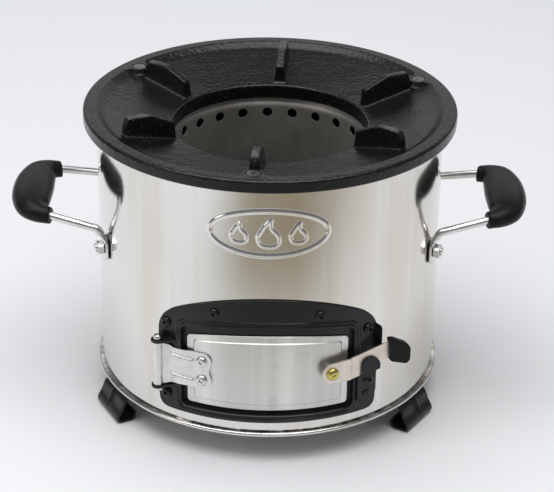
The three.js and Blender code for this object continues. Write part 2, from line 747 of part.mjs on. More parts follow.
function doorFrame() {
  const outer = archedShape(
    FRAME_HALF,
    FRAME_BOTTOM,
    FRAME_SIDE_TOP,
    FRAME_CROWN,
    FRAME_BOTTOM_CORNER,
    FRAME_TOP_CORNER,
  );
  const back = RECESS_DEPTH - FRAME_WALL;
  const face = extruded(withHole(outer, recessShape()), GAP, FRAME_FACE);
  const wall = extruded(withHole(recessShape(FRAME_WALL), recessShape()), back, FRAME_FACE);
  const mouth = doorShape(MOUTH_BORDER, MOUTH_BORDER, RECESS_CORNER);
  const floor = extruded(withHole(recessShape(FRAME_WALL), mouth), back, RECESS_DEPTH);
  const pressed = bent(joined(face, wall, floor, sideLug()));
  const ears = [hingeEar(EAR_TOP - EAR_WALL, 14), hingeEar(EAR_BOTTOM, 10)];
  const pinHole = moved(disc(PIN_R + HOLE_GAP / 2, 0, RIM_Z, 16), atPin());
  return cutBy(joined(pressed, ...ears), pinHole, ...frameHoles());
}

// A domed screw or rivet: its head's underside is at height 0 and its shank goes down.
const domed = (headR, head, shankR, shank, sides = 10) =>
  turned(
    [
      [0, -shank],
      [shankR, -shank],
      [shankR, 0],
      [headR, 0],
      [headR, head * 0.45],
      [headR * 0.6, head],
      [0, head],
    ],
    sides,
  );

const hexNut = (flats, boreR, height) => {
  const outline = circle(flats / 2 / Math.cos(30 * DEG), 6);
  outline.holes.push(new THREE.Path(circle(boreR, 12).getPoints()));
  return extruded(outline, 0, height);
};

// ---- Door ----
function doorPanel() {
  const corner = 3;
  const plate = extruded(doorShape(0, 0, corner), DOOR_BACK, -DOOR_SET_BACK);
  const panel = extruded(
    doorShape(DOOR_PANEL_BORDER, DOOR_PANEL_BOTTOM_BORDER, corner),
    -DOOR_SET_BACK - 0.2,
    DOOR_FACE,
  );
  const pivot = drill(PIVOT_AZIMUTH, PIVOT_Z, M5_R + HOLE_GAP, BODY_R - 8, BODY_R + 8);
  return cutBy(bent(joined(plate, panel)), pivot, ...strapHoles());
}

// Strap from the hinge pin, over the frame's edge, onto the door.
function hingeStrap() {
  const over = FRAME_FACE + GAP + STRAP_WALL / 2;
  const down = DOOR_FACE + GAP + STRAP_WALL / 2;
  const section = sheetOutline(
    [
      [PIN_ARC + 2.2, PIN_OUT - 0.6],
      [PIN_ARC + 4.6, PIN_OUT - 2.6],
      [PIN_ARC + 7, over],
      [-RECESS_HALF - 1, over],
      [-DOOR_HALF + 5.5, down],
      [STRAP_END_ARC + 3, down],
    ],
    STRAP_WALL,
  );
  const middle = (STRAP_TOP + STRAP_BOTTOM) / 2;
  const outline = new THREE.Shape();
  outline.moveTo(PIN_ARC, STRAP_BOTTOM - 2.5);
  outline.lineTo(PIN_ARC + 10, STRAP_BOTTOM);
  outline.lineTo(STRAP_LOBE_ARC, STRAP_BOTTOM);
  outline.absarc(STRAP_LOBE_ARC, STRAP_BOTTOM + STRAP_LOBE_R, STRAP_LOBE_R, -Math.PI / 2, 0.3, false);
  outline.lineTo(STRAP_END_ARC - 1.6, middle);
  outline.absarc(STRAP_LOBE_ARC, STRAP_TOP - STRAP_LOBE_R, STRAP_LOBE_R, -0.3, Math.PI / 2, false);
  outline.lineTo(PIN_ARC + 10, STRAP_TOP);
  outline.lineTo(PIN_ARC, EAR_TOP - EAR_WALL - GAP);
  const flatSection = geometryOf(extruded(section, -RIM_Z, 0, 1)).rotateX(Math.PI / 2);
  const strap = bent(solidOf(flatSection).intersect(extruded(outline, -5, PIN_OUT + 5)));
  const [low, high] = [EAR_BOTTOM + EAR_WALL + GAP, EAR_TOP - EAR_WALL - GAP];
  const barrel = moved(disc(BARREL_R, low, high, 16), atPin());
  const bore = moved(disc(PIN_R + HOLE_GAP / 2, 0, RIM_Z, 16), atPin());
  return cutBy(joined(strap, barrel), bore, ...strapHoles());
}

// ---- Latch, drawn in the pivot's frame: X along the surface, Y up, Z out ----
const pivotFrame = () => outwardFrame(PIVOT_AZIMUTH, 0, PIVOT_Z);

function latchLever() {
  const outline = new THREE.Shape();
  outline.absarc(0, 0, LEVER_R, 100 * DEG, 275 * DEG, false);
  outline.lineTo(17, -LEVER_R + 0.2);
  outline.lineTo(22.6, -5.8);
  outline.lineTo(46.5, 6.1);
  outline.lineTo(47.5, 18.8);
  outline.lineTo(41.6, 17.5);
  outline.lineTo(16.5, 10);
  const middle = LEVER_PIVOT_BACK + LEVER_WALL / 2;
  const section = sheetOutline(
    [
      [-LEVER_R - 1, middle],
      [14, middle],
      [16, middle - LEVER_JOGGLE],
      [50, middle - LEVER_JOGGLE],
    ],
    LEVER_WALL,
  );
  const strip = solidOf(geometryOf(extruded(section, -40, 40, 1)).rotateX(Math.PI / 2));
  const blank = strip.intersect(extruded(outline, LEVER_BACK - 2, LEVER_FACE + 2));
  return blank.subtract(disc(M5_R + HOLE_GAP, 0, BODY_R * 2, 16));
}

// Pushed over the lever's end: a slot in it takes the steel.
function latchKnob() {
  const outline = polygon([
    [44.4, 4],
    [46, 2.4],
    [57.6, -1.1],
    [60.6, 1.6],
    [60.8, 11.8],
    [58, 15.6],
    [46.7, 21.6],
    [43, 21.2],
    [43.6, 18.2],
  ]);
  const body = extruded(outline, KNOB_BACK, KNOB_BACK + KNOB);
  const slot = block([30, 4.8, LEVER_BACK - GAP], [48, 19.1, LEVER_BACK + LEVER_WALL + GAP]);
  return body.subtract(slot);
}

// A strip on the frame's right edge whose top folds out and up in front of the lever.
function latchCatch() {
  const right = FRAME_HALF - 1;
  const left = right - CATCH_WIDTH;
  const low = FRAME_FACE + GAP;
  const shelfTop = PIVOT_Z - 5.9;
  const foot = polygon([
    [left, CATCH_BOTTOM],
    [right - 4, CATCH_BOTTOM],
    [right, CATCH_BOTTOM + 5],
    [right, shelfTop],
    [left, shelfTop],
  ]);
  const strip = bent(extruded(foot, low, low + CATCH_WALL));
  const shelf = block([23.5, -5.9 - CATCH_WALL, 120], [33.8, -5.9, TONGUE_BACK + CATCH_WALL]);
  const tongue = new THREE.Shape();
  tongue.moveTo(22.5, -5.9 - CATCH_WALL);
  tongue.lineTo(33.8, -5.9 - CATCH_WALL);
  tongue.lineTo(33.8, -2.6);
  tongue.lineTo(37.3, -1.8);
  tongue.lineTo(37.3, 1.3);
  tongue.absarc(29.9, 1.3, 7.4, 0, Math.PI, false);
  const hook = joined(shelf, extruded(tongue, TONGUE_BACK, TONGUE_BACK + CATCH_WALL));
  const placed = moved(hook, pivotFrame()).subtract(disc(BODY_R + low, 0, RIM_Z));
  const holes = [FRAME_SCREWS[5], CATCH_RIVET].map(([arc, height]) =>
    drill(azimuthOf(arc), height, M4_R + HOLE_GAP, BODY_R - 8, BODY_R + low + CATCH_WALL + 1),
  );
  return cutBy(joined(strip, placed), ...holes);
}

// ---- Handles ----
const handleAzimuths = () => [
  180 - HANDLE_HALF_ANGLE,
  180 + HANDLE_HALF_ANGLE,
  -HANDLE_HALF_ANGLE,
  HANDLE_HALF_ANGLE,
];

// The rod's middle line for the handle on the +X side, from the front bolt to the back one.
function handlePoints() {
  const legR = BODY_R + GAP + TAB_WALL / 2 + ROD_R - 0.4;
  const legX = legR * Math.cos(HANDLE_HALF_ANGLE * DEG);
  const legY = legR * Math.sin(HANDLE_HALF_ANGLE * DEG);
  const gripX = BODY_R + GRIP_REACH;
  const half = [
    [legX, legY, HANDLE_BOLT_Z + 5.8],
    [legX + 0.2, legY, HANDLE_BOLT_Z + 10.5],
    [legX + 3.2, legY - 0.3, HANDLE_BOLT_Z + 14.8],
    [legX + 10, legY - 1.2, HANDLE_BOLT_Z + 16.7],
    [legX + 26, legY - 4.6, HANDLE_BOLT_Z + 19.7],
    [gripX - 17.3, legY - 7.4, GRIP_Z - 2.1],
    [gripX - 8.8, legY - 10.4, GRIP_Z - 1],
    [gripX - 3, legY - 17.2, GRIP_Z - 0.2],
    [gripX - 0.6, legY - 31, GRIP_Z],
  ].map((p) => new THREE.Vector3(...p));
  const front = half.map((p) => new THREE.Vector3(p.x, -p.y, p.z));
  const middle = new THREE.Vector3(gripX, 0, GRIP_Z);
  return [...front, middle, ...half.reverse()];
}

const handleCurve = () => new THREE.CatmullRomCurve3(handlePoints());

function handleRod() {
  const bar = swept(handleCurve(), circle(ROD_R, 8, 22.5 * DEG), 36);
  const low = HANDLE_BOLT_Z - TAB_BELOW_BOLT;
  const tab = new THREE.Shape();
  tab.absarc(0, low + TAB_HALF, TAB_HALF, Math.PI, 2 * Math.PI, false);
  tab.lineTo(TAB_HALF, HANDLE_BOLT_Z + 5.5);
  tab.lineTo(ROD_R, HANDLE_BOLT_Z + 9);
  tab.lineTo(-ROD_R, HANDLE_BOLT_Z + 9);
  tab.lineTo(-TAB_HALF, HANDLE_BOLT_Z + 5.5);
  const back = BODY_R + GAP;
  const tabs = [-HANDLE_HALF_ANGLE, HANDLE_HALF_ANGLE].map((azimuth) => {
    const blank = moved(extruded(tab, back, back + TAB_WALL, 6), outwardFrame(azimuth, 0, 0));
    return blank.subtract(drill(azimuth, HANDLE_BOLT_Z, M6_R + HOLE_GAP, BODY_R - 8, BODY_R + 20));
  });
  return joined(bar, ...tabs);
}

// The moulded grip: oval sections along the rod, fattest in the middle.
function handleGrip() {
  const curve = handleCurve();
  const points = handlePoints();
  const shareOf = (index) => index / (points.length - 1);
  const [from, to] = [shareOf(5), 1 - shareOf(5)];
  const [sections, sides] = [14, 12];
  const positions = [];
  for (let i = 0; i <= sections; i++) {
    const share = i / sections;
    const at = curve.getPoint(THREE.MathUtils.lerp(from, to, share));
    const along = curve.getTangent(THREE.MathUtils.lerp(from, to, share)).setZ(0).normalize();
    const swell = Math.sin(Math.PI * share) ** 1.4;
    const halfWidth = THREE.MathUtils.lerp(GRIP_END_R, GRIP_HALF_WIDTH, swell);
    const halfHeight = THREE.MathUtils.lerp(GRIP_END_R, GRIP_HALF_HEIGHT, swell);
    for (let k = 0; k < sides; k++) {
      const angle = (k * 2 * Math.PI) / sides;
      const out = halfWidth * Math.cos(angle);
      positions.push(at.x + along.y * out, at.y - along.x * out, at.z + halfHeight * Math.sin(angle));
    }
  }
  const faces = [];
  const corner = (i, k) => i * sides + (k % sides);
  for (let i = 0; i < sections; i++)
    for (let k = 0; k < sides; k++) {
      faces.push(corner(i, k), corner(i, k + 1), corner(i + 1, k + 1));
      faces.push(corner(i, k), corner(i + 1, k + 1), corner(i + 1, k));
    }
  for (let k = 1; k < sides - 1; k++) {
    faces.push(corner(0, 0), corner(0, k + 1), corner(0, k));
    faces.push(corner(sections, 0), corner(sections, k), corner(sections, k + 1));
  }
  const grip = new THREE.BufferGeometry();
  grip.setAttribute("position", new THREE.Float32BufferAttribute(positions, 3));
  grip.setIndex(faces);
  const bore = swept(curve, circle(ROD_R + HOLE_GAP, 8, 22.5 * DEG), 36);
  return solidOf(grip).subtract(bore);
}

// ---- Feet ----
const footRivetHole = (azimuth) => {
  const hole = disc(FOOT_RIVET_R + HOLE_GAP, 10, 30, 8);
  const out = new THREE.Matrix4().makeTranslation(FOOT_RIVET_PLACE, 0, 0);
  return moved(hole, turnAbout(azimuth).multiply(out));
};

// A bent plate along +X: a flange under the base, a face that flares outwards, a sole with a turned-up end.
function foot() {
  const half = FOOT_WALL / 2;
  const topX = BODY_R + 0.7 - half;
  const floorX = topX + FOOT_FLARE;
  const soleX = floorX - FOOT_SOLE;
  const line = [
    [topX - FOOT_FLANGE, FOOT_TOP - half],
    [topX - 3, FOOT_TOP - half],
    [topX - 0.7, FOOT_TOP - half - 1],
    [topX + 0.6, FOOT_TOP - half - 3.4],
    [topX + FOOT_FLARE * 0.5, FOOT_TOP * 0.5],
    [topX + FOOT_FLARE * 0.85, FOOT_TOP * 0.27],
    [floorX, 4.4],
    [floorX - 0.6, 2.2],
    [floorX - 2.4, half],
    [soleX, half],
    [soleX - 2.2, half + 0.9],
    [soleX - 3.6, half + 3],
    [soleX - 4, half + 6],
  ];
  const wide = FOOT_WIDTH / 2;
  const plate = geometryOf(extruded(sheetOutline(line, FOOT_WALL), -wide, wide, 1)).rotateX(Math.PI / 2);
  const groove = new THREE.BoxGeometry(1.4, FOOT_GROOVE, FOOT_TOP * 0.62);
  groove.rotateY(-Math.atan2(FOOT_FLARE, FOOT_TOP)).translate(topX + half + 1.2, 0, FOOT_TOP * 0.68);
  return cutBy(solidOf(plate), solidOf(groove), footRivetHole(0));
}

// Rivet through a foot's flange and the base plate.
function footRivet() {
  const low = FOOT_TOP - FOOT_WALL - GAP;
  const high = BASE_TOP + GAP;
  return turned(
    [
      [0, low - 1.8],
      [FOOT_RIVET_HEAD_R * 0.6, low - 1.8],
      [FOOT_RIVET_HEAD_R, low - 0.6],
      [FOOT_RIVET_HEAD_R, low],
      [FOOT_RIVET_R, low],
      [FOOT_RIVET_R, high],
      [FOOT_RIVET_HEAD_R - 0.6, high],
      [FOOT_RIVET_HEAD_R - 0.6, high + 0.7],
      [FOOT_RIVET_R, high + 1.4],
      [0, high + 1.4],
    ],
    10,
  );
}

// ---- Assembly ----
add("body_shell", bodyShell(), STAINLESS);
add("base_plate", basePlate(), STAINLESS);
add("top_ring", topRing(), CAST_IRON);
RING_SCREW_TURNS.forEach((turn, i) => {
  add(`ring_screw_${i + 1}`, countersunk(0), ZINC, ringPlace(turn, RING_SCREW_R, RIM_Z));
  add(`ring_bracket_${i + 1}`, ringBracket(turn), ZINC);
});

add("combustion_chamber", combustionChamber(), CHAMBER_STEEL);
const ledgeTop = LEDGE_Z + LEDGE_WALL;
const ledge = tube(CHAMBER_R - LEDGE_WIDTH, CHAMBER_R - GAP, LEDGE_Z, ledgeTop, INNER_SEGMENTS);
add("grate_ledge", ledge, CHAMBER_STEEL);
add("fuel_grate", fuelGrate(), CAST_IRON);
add("insulation", insulation(), WOOL);
add("insulation_base", disc(CHAMBER_R, INSULATION_Z, CHAMBER_FLOOR_Z - GAP, INNER_SEGMENTS), WOOL);
add("feed_tunnel", feedTunnel(), CHAMBER_STEEL);

add("door_frame", doorFrame(), BLACK_PAINT);
FRAME_SCREWS.forEach(([arc, height], i) => {
  const onCatch = i === FRAME_SCREWS.length - 1 ? CATCH_WALL + GAP : 0;
  const seat = BODY_R + FRAME_FACE + onCatch + GAP / 2;
  const screw = domed(M4_HEAD_R, M4_HEAD, M4_R, 7 + onCatch);
  add(`frame_screw_${i + 1}`, screw, BLACK_PAINT, outwardFrame(azimuthOf(arc), seat, height));
});
const catchFace = BODY_R + FRAME_FACE + CATCH_WALL + GAP * 1.5;
const catchRivet = domed(M4_HEAD_R * 0.7, 1.2, M4_R, 8.5);
const [catchArc, catchZ] = CATCH_RIVET;
add("catch_rivet", catchRivet, BLACK_PAINT, outwardFrame(azimuthOf(catchArc), catchFace, catchZ));

const pin = domed(PIN_HEAD_R, PIN_HEAD, PIN_R, EAR_TOP - EAR_BOTTOM + 4.5, 16);
add("hinge_pin", pin, ZINC, atPin(EAR_TOP + GAP));
const pinNut = hexNut(5.5, PIN_R + GAP / 2, 2.6);
add("hinge_pin_nut", pinNut, ZINC, atPin(EAR_BOTTOM - GAP - 2.6));
add("door_panel", doorPanel(), BRUSHED);
add("hinge_strap", hingeStrap(), ZINC);
STRAP_RIVETS.forEach((height, i) => {
  const seat = BODY_R + DOOR_FACE + STRAP_WALL + GAP * 1.5;
  const rivet = domed(M4_HEAD_R * 0.94, M4_HEAD, M4_R, 5.2);
  add(`strap_rivet_${i + 1}`, rivet, ZINC, outwardFrame(azimuthOf(STRAP_LOBE_ARC), seat, height));
});

const latchAt = (radius) => outwardFrame(PIVOT_AZIMUTH, radius, PIVOT_Z);
add("latch_lever", latchLever(), NICKEL, latchAt(0));
add("latch_knob", latchKnob(), BLACK_PLASTIC, latchAt(0));
add("latch_catch", latchCatch(), BLACK_PAINT);
const spacerBack = BODY_R + DOOR_FACE + GAP;
const spacerOutline = circle(M5_R + 1.4, 20);
spacerOutline.holes.push(new THREE.Path(circle(M5_R + HOLE_GAP, 12).getPoints()));
add("latch_spacer", extruded(spacerOutline, spacerBack, LEVER_PIVOT_BACK - GAP), ZINC, latchAt(0));
const latchScrewSeat = LEVER_FACE + GAP / 2;
const nutBack = BODY_R + DOOR_BACK - FACET_SAG - GAP - M5_NUT;
const latchScrew = domed(M5_HEAD_R, M5_HEAD, M5_R, latchScrewSeat - nutBack + 0.6, 16);
add("latch_screw", latchScrew, YELLOW_ZINC, latchAt(latchScrewSeat));
add("latch_nut", hexNut(M5_NUT_FLATS, M5_R + GAP / 2, M5_NUT), ZINC, latchAt(nutBack));

const sides = { right: [0, [-1, 1]], left: [180, [1, -1]] };
for (const [side, [turn, ends]] of Object.entries(sides)) {
  add(`handle_rod_${side}`, handleRod(), STAINLESS, turnAbout(turn));
  add(`handle_grip_${side}`, handleGrip(), BLACK_PLASTIC, turnAbout(turn));
  ["front", "back"].forEach((end, i) => {
    const azimuth = turn + ends[i] * HANDLE_HALF_ANGLE;
    const headTop = SHELL_INNER_R - 2 * GAP;
    const nutSeat = BODY_R + 2 * GAP + TAB_WALL;
    const bolt = domed(M6_HEAD_R, M6_HEAD, M6_R, nutSeat + M6_NUT + 1.4 - headTop);
    const inward = outwardFrame(azimuth, headTop, HANDLE_BOLT_Z).multiply(
      new THREE.Matrix4().makeRotationY(Math.PI),
    );
    add(`handle_bolt_${side}_${end}`, bolt, ZINC, inward);
    const nut = hexNut(M6_NUT_FLATS, M6_R + GAP / 2, M6_NUT);
    add(`handle_nut_${side}_${end}`, nut, ZINC, outwardFrame(azimuth, nutSeat, HANDLE_BOLT_Z));
  });
}

for (const [name, azimuth] of Object.entries(FOOT_AZIMUTHS)) {
  add(name, foot(), BLACK_PAINT, turnAbout(azimuth));
  const place = turnAbout(azimuth).multiply(new THREE.Matrix4().makeTranslation(FOOT_RIVET_PLACE, 0, 0));
  add(name.replace("foot", "foot_rivet"), footRivet(), ZINC, place);
}

export default stove;
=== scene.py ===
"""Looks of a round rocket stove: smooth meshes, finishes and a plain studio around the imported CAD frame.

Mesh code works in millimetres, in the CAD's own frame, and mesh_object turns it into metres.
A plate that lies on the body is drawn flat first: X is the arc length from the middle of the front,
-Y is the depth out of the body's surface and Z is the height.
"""

import json
import math

import bmesh
import bpy
import numpy as np
from bpy.props import FloatProperty, FloatVectorProperty, IntProperty, PointerProperty
from mathutils import Matrix, Vector


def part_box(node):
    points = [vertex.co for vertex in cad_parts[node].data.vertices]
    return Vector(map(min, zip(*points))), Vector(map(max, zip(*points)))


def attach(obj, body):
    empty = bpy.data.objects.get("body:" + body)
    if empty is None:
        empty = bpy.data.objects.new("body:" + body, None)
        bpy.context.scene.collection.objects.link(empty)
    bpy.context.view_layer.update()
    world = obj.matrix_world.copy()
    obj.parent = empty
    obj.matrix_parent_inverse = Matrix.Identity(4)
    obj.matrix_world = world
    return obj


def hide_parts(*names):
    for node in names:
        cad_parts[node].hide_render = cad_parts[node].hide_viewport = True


bl_info = {
    "name": "Rocket stove",
    "version": (1, 0, 0),
    "blender": (4, 5, 0),
    "location": "3D View > Sidebar > Stove",
    "description": "Builds the stove's pieces and a plain studio round its CAD frame",
    "category": "Add Mesh",
}

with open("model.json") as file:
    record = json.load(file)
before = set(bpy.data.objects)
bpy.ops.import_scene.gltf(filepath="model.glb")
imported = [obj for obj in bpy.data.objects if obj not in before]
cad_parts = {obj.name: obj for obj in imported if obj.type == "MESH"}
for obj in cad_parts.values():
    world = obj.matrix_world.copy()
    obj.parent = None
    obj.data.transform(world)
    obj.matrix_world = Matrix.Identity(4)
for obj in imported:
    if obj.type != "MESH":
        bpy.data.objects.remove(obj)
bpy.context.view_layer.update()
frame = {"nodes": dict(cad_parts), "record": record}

MM = 0.001


# ---- Places read from the frame, in millimetres ----
def low(node):
    """Lowest corner of a CAD node."""
    return np.array(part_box(node)[0]) / MM


def high(node):
    """Highest corner of a CAD node."""
    return np.array(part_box(node)[1]) / MM


def middle(node):
    """Middle of a CAD node's box."""
    return (low(node) + high(node)) / 2


def azimuth(point):
    """Angle of a point round the stove's axis, in radians."""
    return math.atan2(point[1], point[0])


FOOT_HEIGHT = low("body_shell")[2]
SHELL_TOP = high("body_shell")[2]
SHELL_WALL = 1.0
BODY_R = 130.0
SEAM_R = BODY_R + 3.3
RING_R = high("top_ring")[0]
RIB_TOP = high("top_ring")[2]
RIM_Z = high("ring_screw_1")[2]
RING_TURN = azimuth(middle("ring_screw_1"))
COLLAR_Z = low("top_ring")[2]
HOLE_R = 73.0
RIM_WIDTH = 10.0
SLOPE_R = RING_R - 16.0
DISH_Z = RIM_Z - 15.2
RING_SCREW_R = math.hypot(*middle("ring_screw_1")[:2])
CHAMBER_R = 75.0
CHAMBER_TOP = high("combustion_chamber")[2]
CHAMBER_FLOOR = low("combustion_chamber")[2]
AIR_HOLE_R = 3.9
AIR_HOLE_Z = CHAMBER_TOP - 12.4

FRAME_HALF = 85.0
FRAME_BACK = 0.3
FRAME_FACE = 1.8
FRAME_BOTTOM = 33.5
FRAME_SIDE_TOP = 110.8
FRAME_CROWN = 135.6
RECESS_HALF = 65.0
RECESS_BOTTOM = 40.0
RECESS_SIDE_TOP = 106.3
RECESS_CROWN = 112.3
RECESS_DEPTH = -2.2
DOOR_HALF = 61.5
DOOR_BOTTOM = low("door_panel")[2]
DOOR_CROWN = high("door_panel")[2]
DOOR_SIDE_TOP = DOOR_CROWN - 6.0
DOOR_BACK = -1.9
DOOR_EDGE = -0.9
DOOR_FACE = 0.1

PIN = middle("hinge_pin")
EAR_BOTTOM = low("hinge_pin_nut")[2] + 2.9
EAR_TOP = 93.0
PIN_ARC = BODY_R * (azimuth(PIN) + math.pi / 2)
PIN_OUT = math.hypot(*PIN[:2]) - BODY_R
STRAP_LOW = 57.3
STRAP_HIGH = 86.8
STRAP_END = -41.0
LOBE_R = 7.0
RIVET_R = 4.3
PIVOT = middle("latch_screw")
PIVOT_AZIMUTH = azimuth(PIVOT)


# ---- Sizes and colours that a user would change ----
def length(title, text, value):
    """A length with its default in millimetres."""
    return FloatProperty(name=title, description=text, default=value * MM, unit="LENGTH", precision=4)


def colour(title, text, value):
    return FloatVectorProperty(
        name=title, description=text, subtype="COLOR", size=3, min=0, max=1, default=value
    )


class StoveSizes(bpy.types.PropertyGroup):
    """Sizes of the repeated and the pressed details."""

    rib_count: IntProperty(name="Pot rests", description="Ribs round the cast ring", default=6, min=3)
    air_holes: IntProperty(name="Air holes", description="Holes round the chamber's top", default=24, min=6)
    rib_foot: length("Rib foot", "Width of a rib where it leaves the dish", 8.6)
    rib_top: length("Rib top", "Width of a rib's flat top", 6.4)
    emblem_rise: length("Emblem rise", "Height of the embossed oval over the body", 1.05)
    panel_slope: length("Panel slope", "Width of the slope round the door's raised panel", 1.4)


class StoveColours(bpy.types.PropertyGroup):
    """Base colours of the finishes."""

    steel: colour("Steel", "Polished sheet of the body", (0.77, 0.76, 0.74))
    brushed: colour("Brushed steel", "Door plate", (0.70, 0.692, 0.67))
    chamber: colour("Chamber steel", "Satin sheet of the chamber", (0.41, 0.392, 0.365))
    zinc: colour("Zinc", "Strap, nuts and rivets", (0.78, 0.775, 0.76))
    nickel: colour("Nickel", "Latch lever", (0.80, 0.745, 0.685))
    brass: colour("Yellow zinc", "Latch screw", (0.72, 0.60, 0.20))
    iron: colour("Cast iron", "Pot ring", (0.0045, 0.0048, 0.0052))
    enamel: colour("Enamel", "Door frame, catch and feet", (0.0055, 0.0062, 0.0070))
    plastic: colour("Plastic", "Grips and knob", (0.0060, 0.0064, 0.0068))
    wool: colour("Wool", "Insulation", (0.72, 0.66, 0.50))
    floor: colour("Floor", "Studio floor", (0.80, 0.81, 0.825))


# ---- Shader maths ----
class Field:
    """A socket that takes part in arithmetic, adding Math nodes to its tree."""

    def __init__(self, shader, socket):
        self.shader = shader
        self.socket = socket

    def __add__(self, other):
        return self.shader.math("ADD", self, other)

    def __sub__(self, other):
        return self.shader.math("SUBTRACT", self, other)

    def __rsub__(self, other):
        return self.shader.math("SUBTRACT", other, self)

    def __mul__(self, other):
        return self.shader.math("MULTIPLY", self, other)

    __radd__ = __add__
    __rmul__ = __mul__


class Shader:
    """A material and its node tree."""

    def __init__(self, name):
        self.material = bpy.data.materials.new(name)
        self.material.use_nodes = True
        self.tree = self.material.node_tree
        self.tree.nodes.clear()
        self.place = self.node("ShaderNodeTexCoord", output="Object")

    def node(self, kind, settings=(), inputs=(), output=0):
        """A node of any kind: its settings first, then the values or links of its sockets."""
        made = self.tree.nodes.new(kind)
        for key, value in dict(settings).items():
            setattr(made, key, value)
        for key, value in dict(inputs).items():
            if isinstance(value, Field):
                self.tree.links.new(value.socket, made.inputs[key])
            else:
                made.inputs[key].default_value = value
        return Field(self, made.outputs[output]) if made.outputs else made

    def math(self, operation, first, second):
        return self.node("ShaderNodeMath", {"operation": operation}, {0: first, 1: second})

    def stretched(self, scale):
        """Object coordinates times a vector."""
        inputs = {0: self.place, 1: scale}
        return self.node("ShaderNodeVectorMath", {"operation": "MULTIPLY"}, inputs)

    def noise(self, scale, detail=3.0, stretch=(1, 1, 1), roughness=0.5):
        inputs = {"Vector": self.stretched(stretch), "Scale": scale, "Detail": detail, "Roughness": roughness}
        return self.node("ShaderNodeTexNoise", inputs=inputs)

    def between(self, value, start, end, first=0.0, last=1.0):
        """A smooth step of a value, from one number to another."""
        settings = {"interpolation_type": "SMOOTHSTEP"}
        return self.node("ShaderNodeMapRange", settings, {0: value, 1: start, 2: end, 3: first, 4: last})

    def mix(self, share, first, second):
        """Colour between two colours."""
        colours = [c if isinstance(c, Field) else (*c, 1) for c in (first, second)]
        inputs = {0: share, 6: colours[0], 7: colours[1]}
        return self.node("ShaderNodeMix", {"data_type": "RGBA"}, inputs, output=2)

    def part(self, axis):
        """One of the object coordinates, in metres."""
        return self.node("ShaderNodeSeparateXYZ", inputs={0: self.place}, output=axis)

    def bump(self, height, distance, normal=None):
        inputs = {"Height": height, "Distance": distance}
        if normal:
            inputs["Normal"] = normal
        return self.node("ShaderNodeBump", inputs=inputs)

    def finish(self, **inputs):
        """The surface, with its sockets' values given by name."""
        named = {key.replace("_", " ").title().replace("Ior", "IOR"): value for key, value in inputs.items()}
        if isinstance(named["Base Color"], tuple):
            named["Base Color"] = (*named["Base Color"], 1)
        surface = self.node("ShaderNodeBsdfPrincipled", inputs=named)
        self.node("ShaderNodeOutputMaterial", inputs={"Surface": surface})
        return self.material


def scaled(colour, factor):
    return tuple(min(1.0, channel * factor) for channel in colour)


def polished_steel(colour):
    shader = Shader("polished_steel")
    streaks = shader.noise(70, 5, (1, 1, 0.035), 0.65)
    cloud = shader.noise(9, 2, (1, 1, 0.45))
    scratches = shader.noise(420, 2, (1, 1, 0.01))
    tint = shader.between(cloud * 0.65 + streaks * 0.35, 0.46, 0.64)
    base = shader.mix(tint * 0.8, colour, (colour[0] * 0.88, colour[1] * 0.82, colour[2] * 0.74))
    waves = shader.bump(cloud, 0.0011)
    height = shader.part(2)
    # Painted shade: a dark band, broken up by noise, in the crease above the rolled seam.
    crease = shader.between(height, (FOOT_HEIGHT + 2.7) * MM, (FOOT_HEIGHT + 3.4) * MM)
    crease = crease * shader.between(height, (FOOT_HEIGHT + 5.2) * MM, (FOOT_HEIGHT + 4.4) * MM)
    crease_shade = crease * shader.between(shader.noise(170, 4), 0.3, 0.7)
    return shader.finish(
        base_color=shader.mix(crease_shade * 0.75, base, (0.17, 0.165, 0.14)),
        metallic=1.0,
        roughness=0.06 + streaks * 0.09 + cloud * 0.03,
        normal=shader.bump(streaks * 0.6 + scratches * 0.4, 0.00002, waves),
    )


def brushed_steel(colour):
    shader = Shader("brushed_steel")
    bands = shader.noise(60, 3, (1, 1, 0.02))
    lines = shader.noise(900, 3, (1, 1, 0.012))
    smudges = shader.noise(90, 4)
    base = shader.mix(shader.between(bands, 0.3, 0.7), scaled(colour, 0.88), scaled(colour, 1.12))
    stained = shader.mix(shader.between(smudges, 0.62, 0.75) * 0.3, base, scaled(colour, 0.6))
    return shader.finish(
        base_color=stained,
        metallic=1.0,
        roughness=0.27 + lines * 0.12 + bands * 0.06,
        normal=shader.bump(lines, 0.00006),
    )


def chamber_steel(colour):
    shader = Shader("chamber_steel")
    streaks = shader.noise(160, 4, (1, 1, 0.25))
    cloud = shader.noise(22, 3)
    # Darker towards the bottom of the chamber, below 0.2 m of height.
    height = shader.part(2)
    depth = shader.between(height, 0.10, 0.2)
    base = shader.mix(streaks, scaled(colour, 0.85), scaled(colour, 1.15))
    heated = shader.mix(shader.between(cloud, 0.4, 0.7) * 0.4, base, (0.20, 0.17, 0.14))
    darker_towards_bottom = shader.mix(depth, scaled(colour, 0.55), heated)
    return shader.finish(
        base_color=darker_towards_bottom,
        metallic=0.75,
        roughness=0.44 + streaks * 0.12,
        normal=shader.bump(streaks, 0.00012),
    )


def cast_iron(colour):
    shader = Shader("cast_iron")
    grain = shader.noise(330, 4, roughness=0.55)
    lumps = shader.noise(60, 3)
    specks = shader.between(shader.noise(900, 3), 0.66, 0.72)
    dusty = specks * shader.between(shader.noise(15), 0.52, 0.62)
    # Rib tops lighter in patches: partly paint worn off where pots stand, partly a painted highlight.
    crest = shader.between(shader.part(2), (RIB_TOP - 1.2) * MM, (RIB_TOP - 0.1) * MM)
    wear_and_highlight = crest * shader.between(lumps, 0.42, 0.6)
    base = shader.mix(dusty * 0.8 + wear_and_highlight * 0.35, colour, (0.16, 0.16, 0.155))
    return shader.finish(
        base_color=base,
        metallic=0.0,
        roughness=0.13 + grain * 0.16 + dusty * 0.3,
        specular_ior_level=0.36,
        normal=shader.bump(lumps * 0.5 + grain * 0.5, 0.0012),
    )


